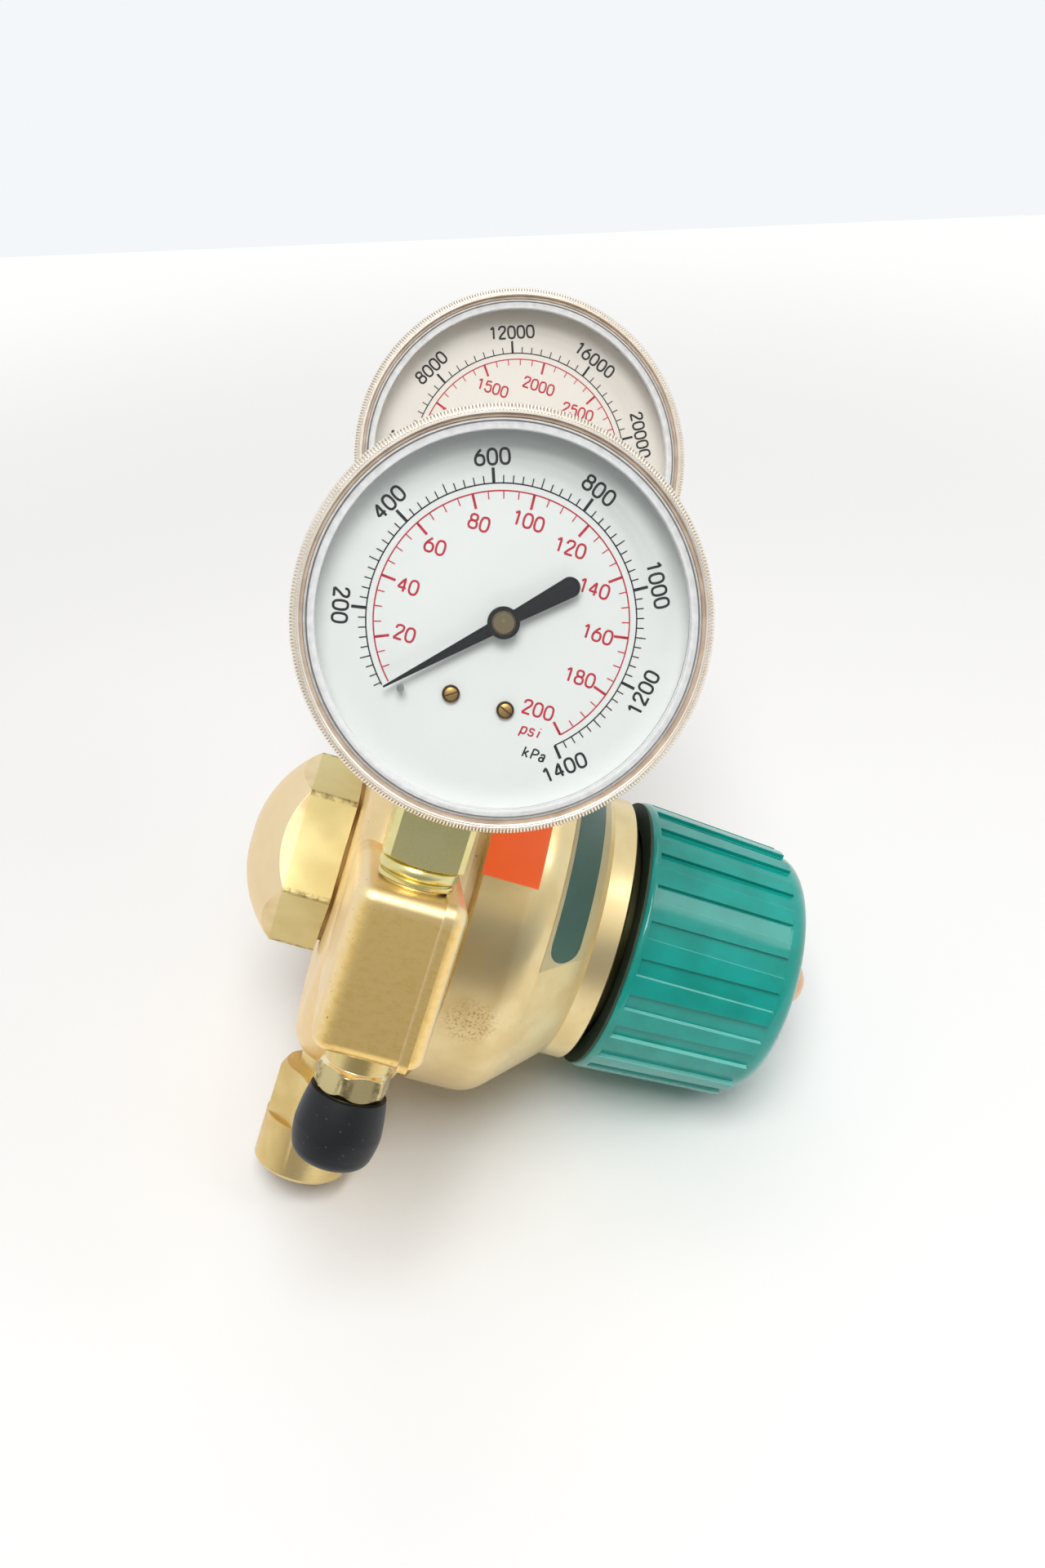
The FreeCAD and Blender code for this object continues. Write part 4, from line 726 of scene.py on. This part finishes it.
# Dial printing
GLYPHS = {
    "0": [("loop", [(0.6, 0), (5.4, 0), (6.3, 5), (5.4, 10), (0.6, 10), (-0.3, 5)])],
    "1": [("line", [(1.3, 7.9), (3.8, 10), (3.8, 0)])],
    "2": [("bend", [(0.4, 7.2), (0.4, 10), (5.8, 10.2), (5.8, 6.4), (2.4, 3.4), (0.1, 0)]),
          ("line", [(0.1, 0), (6, 0)])],
    "3": [("bend", [(0.4, 7.8), (0.8, 10), (5.4, 10.2), (5.4, 5.4), (2.2, 5.3)]),
          ("bend", [(2.2, 5.3), (6.0, 5.4), (6.0, 0), (0.8, -0.3), (0.1, 2.2)])],
    "4": [("line", [(4.4, 0), (4.4, 10), (0, 2.8), (6, 2.8)])],
    "5": [("line", [(5.4, 10), (1, 10), (0.6, 5.6)]),
          ("bend", [(0.6, 5.6), (1.6, 6.5), (6, 7), (6, -0.1), (1.2, -0.4), (0.1, 2.2)])],
    "6": [("loop", [(0, 0), (6, 0), (6, 6.4), (0, 6.4)]),
          ("bend", [(0, 3.2), (0, 6.4), (4.2, 10)])],
    "8": [("loop", [(0, 0), (6, 0), (6, 5.5), (0, 5.5)]),
          ("loop", [(0.5, 5.5), (5.5, 5.5), (5.5, 10), (0.5, 10)])],
    "k": [("line", [(0, 0), (0, 10)]), ("line", [(4.2, 6.6), (0, 2.8)]),
          ("line", [(1.4, 4.1), (4.6, 0)])],
    "P": [("line", [(0, 0), (0, 10)]), ("bend", [(0, 10), (5.8, 10), (5.8, 4.6), (0, 4.6)])],
    "a": [("loop", [(0, 0), (4.0, 0), (4.0, 4.0), (0, 4.0)]), ("line", [(4.4, 4.8), (4.4, 0)]),
          ("bend", [(0.3, 5.6), (1.2, 7.0), (4.4, 7.0), (4.4, 4.6)])],
    "p": [("line", [(0, -3.2), (0, 6.6)]), ("loop", [(0, 0), (4.8, 0), (4.8, 6.4), (0, 6.4)])],
    "s": [("bend", [(4.2, 5.2), (3.8, 6.6), (0.2, 6.8), (0.1, 3.6), (4.4, 3.2), (4.4, 0),
                    (0.8, -0.4), (0, 1.4)])],
    "i": [("line", [(1.6, 0), (1.6, 6.3)]), ("line", [(1.6, 8.4), (1.6, 9.2)])],
}
PRINT_HEIGHT = 12.62


def words_at(text, middle, turn, height, pitch, slant=0.0, thin=1.0):
    """Strokes of a number or unit centred on a point of the dial and turned there."""
    scale = height / 10
    turned = Matrix.Rotation(math.radians(turn), 2)
    strokes = []
    for number, sign in enumerate(text):
        start = (number - (len(text) - 1) / 2) * pitch - 3 * scale
        for kind, points in GLYPHS[sign]:
            spots = [Vector((start + (x + y * slant) * scale, (y - 5) * scale)) for x, y in points]
            strokes.append((kind, [Vector(middle) + turned @ spot for spot in spots], thin))
    return strokes


def arc_line(radius, first, last, thin):
    """A thin printed arc between two angles."""
    steps = 120
    spots = [Vector((radius * math.cos(a), radius * math.sin(a)))
             for a in (math.radians(first + (last - first) * i / steps) for i in range(steps + 1))]
    return ("line", spots, thin)


def printed(name, strokes, stroke_width, place, skin):
    """Pen strokes as flat ribbons just above the dial."""
    pen = bpy.data.curves.new(name, "CURVE")
    pen.dimensions = "3D"
    pen.bevel_depth = stroke_width / 2
    pen.bevel_resolution = 1
    pen.use_fill_caps = True
    pen.resolution_u = 5
    for kind, spots, thin in strokes:
        line = pen.splines.new("NURBS")
        line.points.add(len(spots) - 1)
        for point, spot in zip(line.points, spots):
            point.co = (spot.x, spot.y, 0, 1)
            point.radius = thin
        line.use_cyclic_u = kind == "loop"
        line.use_endpoint_u = kind != "loop"
        line.order_u = 2 if kind == "line" else 3
    mesh = plain_mesh(shown(name, pen))
    mesh.transform(Matrix.Translation((0, 0, PRINT_HEIGHT)) @ Matrix.Diagonal((1, 1, 0.12, 1)))
    piece(name, mesh, place, skin, "regulator")


def bar(radius, length, width):
    """One flat tick that points outwards from radius, or inwards where length is negative."""
    inner, outer = sorted((radius, radius + length))
    half = width / 2
    mesh = bpy.data.meshes.new("tick")
    low, high = PRINT_HEIGHT - 0.02, PRINT_HEIGHT + 0.02
    corners = [(inner, -half), (outer, -half), (outer, half), (inner, half)]
    mesh.from_pydata([(x, y, low) for x, y in corners] + [(x, y, high) for x, y in corners], [],
                     [(3, 2, 1, 0), (4, 5, 6, 7), (0, 1, 5, 4), (1, 2, 6, 5), (2, 3, 7, 6), (3, 0, 4, 7)])
    return mesh


def ticks(name, rows, place, skin):
    """Rows of evenly stepped ticks, joined to one piece of printing."""
    work = bmesh.new()
    for radius, length, width, count, first, step in rows:
        grown_row = grown(SPREAD, bar(radius, length, width), skin, Count=count, First=first, Step=step)
        work.from_mesh(grown_row)
    mesh = bpy.data.meshes.new(name)
    work.to_mesh(mesh)
    work.free()
    piece(name, mesh, place, skin, "regulator")


ZERO_ANGLE, START_ANGLE, PSI_STEP, KPA_PER_PSI = 231.3, 224.4, 1.383, 6.895
BLACK_RING, RED_RING, FIGURE_RING = 22.3, 21.1, 26.45
KPA_SIGN = ("kPa", (11.7, -19.4), 0, 1.7, 1.42, 0.1, 0.7)


def scale_angle(value, per_unit):
    return ZERO_ANGLE - value * per_unit


def numbers_round(values, per_unit, radius, height, pitch):
    """Black numbers that follow the arc, tops outwards in the dial's upper half."""
    strokes = []
    for value in values:
        angle = scale_angle(value, per_unit)
        upper = math.sin(math.radians(angle)) > 0.12
        middle = (radius * math.cos(math.radians(angle)), radius * math.sin(math.radians(angle)))
        strokes += words_at(str(value), middle, angle + (-90 if upper else 90), height, pitch)
    return strokes


def print_delivery():
    """Outlet pressure: 0 to 200 psi in red inside 0 to 1400 kPa in black."""
    place = GAUGES["delivery"]
    kpa = PSI_STEP / KPA_PER_PSI
    end_red, end_black = scale_angle(200, PSI_STEP), scale_angle(1400, kpa)
    strokes = numbers_round(range(200, 1401, 200), kpa, FIGURE_RING, 2.4, 2.05)
    strokes += words_at(*KPA_SIGN)
    strokes.append(arc_line(BLACK_RING, START_ANGLE, end_black, 0.55))
    printed("delivery_black_figures", strokes, 0.42, place, black_ink)
    ticks("delivery_black_ticks", [
        (BLACK_RING, 1.25, 0.2, 69, scale_angle(40, kpa), -20 * kpa),
        (BLACK_RING, 1.75, 0.18, 7, scale_angle(100, kpa), -200 * kpa),
        (BLACK_RING, 2.45, 0.5, 7, scale_angle(200, kpa), -200 * kpa),
    ], place, black_ink)
    red = []
    for text, middle in (("20", (-14.77, -6.5)), ("40", (-16.4, 1.0)), ("60", (-14.1, 8.4)),
                         ("80", (-8.4, 14.1)), ("100", (-0.9, 16.8)), ("120", (6.95, 14.8)),
                         ("140", (12.75, 9.7)), ("160", (15.6, 2.75)), ("180", (15.0, -4.9)),
                         ("200", (10.0, -12.1))):
        red += words_at(text, middle, 0, 2.25, 1.88)
    red += words_at("psi", (10.1, -15.7), 0, 1.8, 1.35, 0.15, 0.8)
    red.append(arc_line(RED_RING, START_ANGLE, end_red, 0.65))
    printed("delivery_red_figures", red, 0.37, place, red_ink)
    ticks("delivery_red_ticks", [
        (RED_RING, -1.3, 0.19, 39, scale_angle(10, PSI_STEP), -5 * PSI_STEP),
        (RED_RING, -2.45, 0.43, 10, scale_angle(20, PSI_STEP), -20 * PSI_STEP),
    ], place, red_ink)


def print_supply():
    """Cylinder pressure: 0 to 4000 psi in red inside 0 to 28000 kPa in black."""
    place = GAUGES["supply"]
    psi = PSI_STEP * 200 / 4000
    kpa = psi / KPA_PER_PSI
    strokes = numbers_round(range(4000, 28001, 4000), kpa, FIGURE_RING, 2.35, 1.95)
    strokes += words_at(*KPA_SIGN)
    strokes.append(arc_line(BLACK_RING, START_ANGLE, scale_angle(28000, kpa), 0.55))
    printed("supply_black_figures", strokes, 0.4, place, black_ink)
    ticks("supply_black_ticks", [
        (BLACK_RING, 1.25, 0.2, 55, scale_angle(1000, kpa), -500 * kpa),
        (BLACK_RING, 2.4, 0.45, 7, scale_angle(4000, kpa), -4000 * kpa),
    ], place, black_ink)
    red = []
    for value in range(500, 4001, 500):
        angle = math.radians(scale_angle(value, psi))
        red += words_at(str(value), (16.3 * math.cos(angle), 16.3 * math.sin(angle)), 0, 2.1, 1.74)
    red.append(arc_line(RED_RING, START_ANGLE, scale_angle(4000, psi), 0.65))
    printed("supply_red_figures", red, 0.35, place, red_ink)
    ticks("supply_red_ticks", [
        (RED_RING, -1.2, 0.19, 39, scale_angle(200, psi), -100 * psi),
        (RED_RING, -2.4, 0.42, 8, scale_angle(500, psi), -500 * psi),
    ], place, red_ink)


print_delivery()
print_supply()


# Dial screws
SCREW_ROW = -13.7


def slotted_screws(gauge, place):
    """Two small cheese-head screws with a sawn slot, each in a dark raised rim."""
    heads, floors = bmesh.new(), bmesh.new()
    for x, turn in ((-4.7, 35), (4.7, -20)):
        head = bmesh.new()
        head.from_mesh(lathe([(12.6, 0), (12.6, 1.1), (13.3, 1.1), (13.42, 0.9), (13.42, 0)], 40))
        for side in (1, -1):
            half = head.copy()
            everything = half.verts[:] + half.edges[:] + half.faces[:]
            cut = bmesh.ops.bisect_plane(half, geom=everything, plane_co=(0, 0.12 * side, 0),
                                         plane_no=(0, -side, 0), clear_outer=True)
            rim = [e for e in cut["geom_cut"] if isinstance(e, bmesh.types.BMEdge)]
            bmesh.ops.edgenet_fill(half, edges=rim)
            spare = bpy.data.meshes.new("half")
            half.to_mesh(spare)
            spare.transform(Matrix.Translation((x, SCREW_ROW, 0))
                            @ Matrix.Rotation(math.radians(turn), 4, "Z"))
            heads.from_mesh(spare)
        spare = lathe([(12.6, 0), (12.6, 1.48), (13.2, 1.48), (13.32, 1.36), (13.1, 1.12),
                       (13.1, 0)], 40)
        spare.transform(Matrix.Translation((x, SCREW_ROW, 0)))
        floors.from_mesh(spare)
    for name, work, skin, nodes in (("_screw_heads", heads, screw_skin, [gauge + "_dial_screws"]),
                                    ("_screw_slots", floors, slot_skin, [])):
        mesh = bpy.data.meshes.new(name)
        work.to_mesh(mesh)
        piece(gauge + name, smoothed(mesh), place, skin, "regulator", *nodes)


for gauge, place in GAUGES.items():
    slotted_screws(gauge, place)


# Threads
relief_thread = grown(THREAD, None, relief_skin, Turns=5.2, Radius=5.85, Pitch=1.41, Crest=0.55)
relief_thread.transform(Matrix.Translation((0, 0, -69.6)))
piece("relief_vent_thread", smoothed(relief_thread, 20), RELIEF, relief_skin, "regulator")
inlet_thread = grown(THREAD, None, inlet_skin, Turns=4.2, Radius=9.25, Pitch=1.81, Crest=0.7)
inlet_thread.transform(Matrix.Translation((0, 0, 78.4)))
piece("inlet_mouth_thread", smoothed(inlet_thread, 20), INLET, inlet_skin, "regulator")


# Labels on the bonnet
def bonnet_radius(x):
    """Radius of the bonnet's outside at a station on the main axis."""
    straight, round_, skirt, slope = 25.6, 9.4, 43.8, math.radians(42)
    bend_end = straight + round_ * math.sin(slope)
    if x < straight:
        return skirt
    if x < bend_end:
        return skirt - round_ + math.sqrt(round_ ** 2 - (x - straight) ** 2)
    top = skirt - round_ * (1 - math.cos(slope))
    return top + (30.9 - top) * (x - bend_end) / (43.5 - bend_end)


def sticker(name, outline, lift, skin):
    """A thin sheet laid on the bonnet; outline gives (station, angle) across 0-1 and along 0-1."""
    across, along = 24, 64
    work = bmesh.new()
    rows = []
    for j in range(along + 1):
        row = []
        for i in range(across + 1):
            x, angle = outline(i / across, j / along)
            radius = bonnet_radius(x) + lift
            a = math.radians(angle)
            row.append(work.verts.new((x, -radius * math.cos(a), radius * math.sin(a))))
        rows.append(row)
    for lower, upper in zip(rows, rows[1:]):
        for i in range(across):
            work.faces.new((lower[i], lower[i + 1], upper[i + 1], upper[i]))
    mesh = bpy.data.meshes.new(name)
    work.to_mesh(mesh)
    work.free()
    piece(name, smoothed(mesh), HOME, skin, "regulator")


def stadium(first, last, low, high):
    """Outline of a stripe with round ends, from two stations and two angles."""
    half = (last - first) / 2
    bend = math.degrees(half / 37)

    def outline(u, v):
        edge = math.sqrt(max(0.0, 1 - (2 * u - 1) ** 2))
        return first + u * (last - first), (low - bend * edge) + v * (high - low + 2 * bend * edge)
    return outline


sticker("bonnet_label", lambda u, v: (31.9 + 10.2 * u, -3.4 + 4.4 * u + v * (92 - 4.4 * u)), 0.06, paper_skin)
sticker("bonnet_label_stripe", stadium(32.9, 40.1, 5.0, 81.5), 0.1, stripe_skin)
sticker("bonnet_patch", lambda u, v: (14.6 + 11.9 * u, 18.8 + 26 * v), 0.06, patch_skin)


# Studio
def studio():
    """White table with a far edge, pale wall beyond it, and soft light from above.

    Mirror images low in front show a dim table and wall, as they do in the photograph.
    """
    far_edge, near_edge, half_width = 0.6, -3.0, 3.0
    mesh = bpy.data.meshes.new("table_top")
    mesh.from_pydata([(-half_width, near_edge, 0), (half_width, near_edge, 0),
                      (half_width, far_edge + 0.04, 0), (-half_width, far_edge - 0.04, 0)], [],
                     [(0, 1, 2, 3)])
    table = shown("table_top", mesh)
    look = Finish("table_white", "dial_white", Roughness=0.7, Specular_IOR_Level=0.2)
    ray = look.node("ShaderNodeLightPath", {}, {})
    seen = ray.out("Is Camera Ray").over(ray.out("Is Glossy Ray")).over(ray.out("Is Transmission Ray"))
    white = look.mix(seen, (0.9, 0.9, 0.9, 1), (0.985, 0.98, 0.975, 1))
    own = look.node("ShaderNodeTexCoord", {}, {}).out("Object")
    x, y, z = look.parts_of(own)
    unlit_front = y.step(-0.22, -0.55) * ray.out("Is Glossy Ray")
    white = look.mix(unlit_front * 0.8, white, (0.2, 0.2, 0.2, 1))
    away = ((x * x + y * y) ** 0.5).step(0.24, 0.62) * seen * (1 - unlit_front)
    look.set("Base Color", look.mix(away, white, (0, 0, 0, 1)))
    look.set("Emission Color", look.mix(away, (0, 0, 0, 1), (0.97, 0.965, 0.96, 1)))
    look.set("Emission Strength", 1.0)
    mesh.materials.append(look.material)

    world = bpy.data.worlds.new("studio")
    bpy.context.scene.world = world
    world.use_nodes = True
    sky = Tree(world.node_tree)
    way = sky.node("ShaderNodeTexCoord", {}, {})
    split = sky.node("ShaderNodeSeparateXYZ", {}, {"Vector": way})
    ray = sky.node("ShaderNodeLightPath", {}, {})
    low_front = (0 - split.out("Y")).step(0.3, 0.95) * split.out("Z").step(0.8, 0.45)
    dim = (1 - ray.out("Is Camera Ray")) * low_front * 0.62
    seen = ray.out("Is Camera Ray").over(ray.out("Is Glossy Ray")).over(ray.out("Is Transmission Ray"))
    light = sky.node("ShaderNodeBackground", {}, {
        "Color": (1, 1, 1, 1), "Strength": 0.05 + split.out("Z").step(0.2, 1.0) * 0.5})
    wall = sky.node("ShaderNodeBackground", {}, {"Color": tone(243, 247, 250), "Strength": 1 - dim})
    both = sky.node("ShaderNodeMixShader", {}, {0: seen, 1: light, 2: wall})
    sky.node("ShaderNodeOutputWorld", {}, {"Surface": both})
    soft_lamp("key_lamp", (0.0, -0.45, 1.2), 0.6, 0.6, 9.8)
    soft_lamp("back_lamp", (0.1, 0.8, 1.2), 0.9, 0.6, 1.8)
    soft_lamp("side_lamp", (0.85, -0.2, 0.95), 0.4, 0.4, 1.3)


def soft_lamp(name, place, width, height, power):
    """A square of light that faces the object from a place in metres."""
    lamp = bpy.data.lights.new(name, "AREA")
    lamp.shape = "RECTANGLE"
    lamp.size, lamp.size_y, lamp.energy = width, height, power
    box = shown(name, lamp)
    box.location = place
    box.rotation_euler = (Vector((0, 0, 0.08)) - box.location).to_track_quat("-Z", "Y").to_euler()


def camera():
    """The photograph's view point, given in the regulator's frame."""
    shot = bpy.data.cameras.new("camera")
    shot.lens, shot.sensor_width = 30.456, 36
    shot.clip_start, shot.clip_end = 0.01, 20
    holder = shown("camera", shot)
    turn = Euler([math.radians(angle) for angle in (81.8386, -17.4273, -6.0475)]).to_matrix().to_4x4()
    holder.matrix_world = HOME @ Matrix.Translation(Vector((-21.353, -297.473, 69.077)) * MM) @ turn
    bpy.context.scene.camera = holder


studio()
camera()
bpy.context.scene.view_settings.view_transform = "Standard"
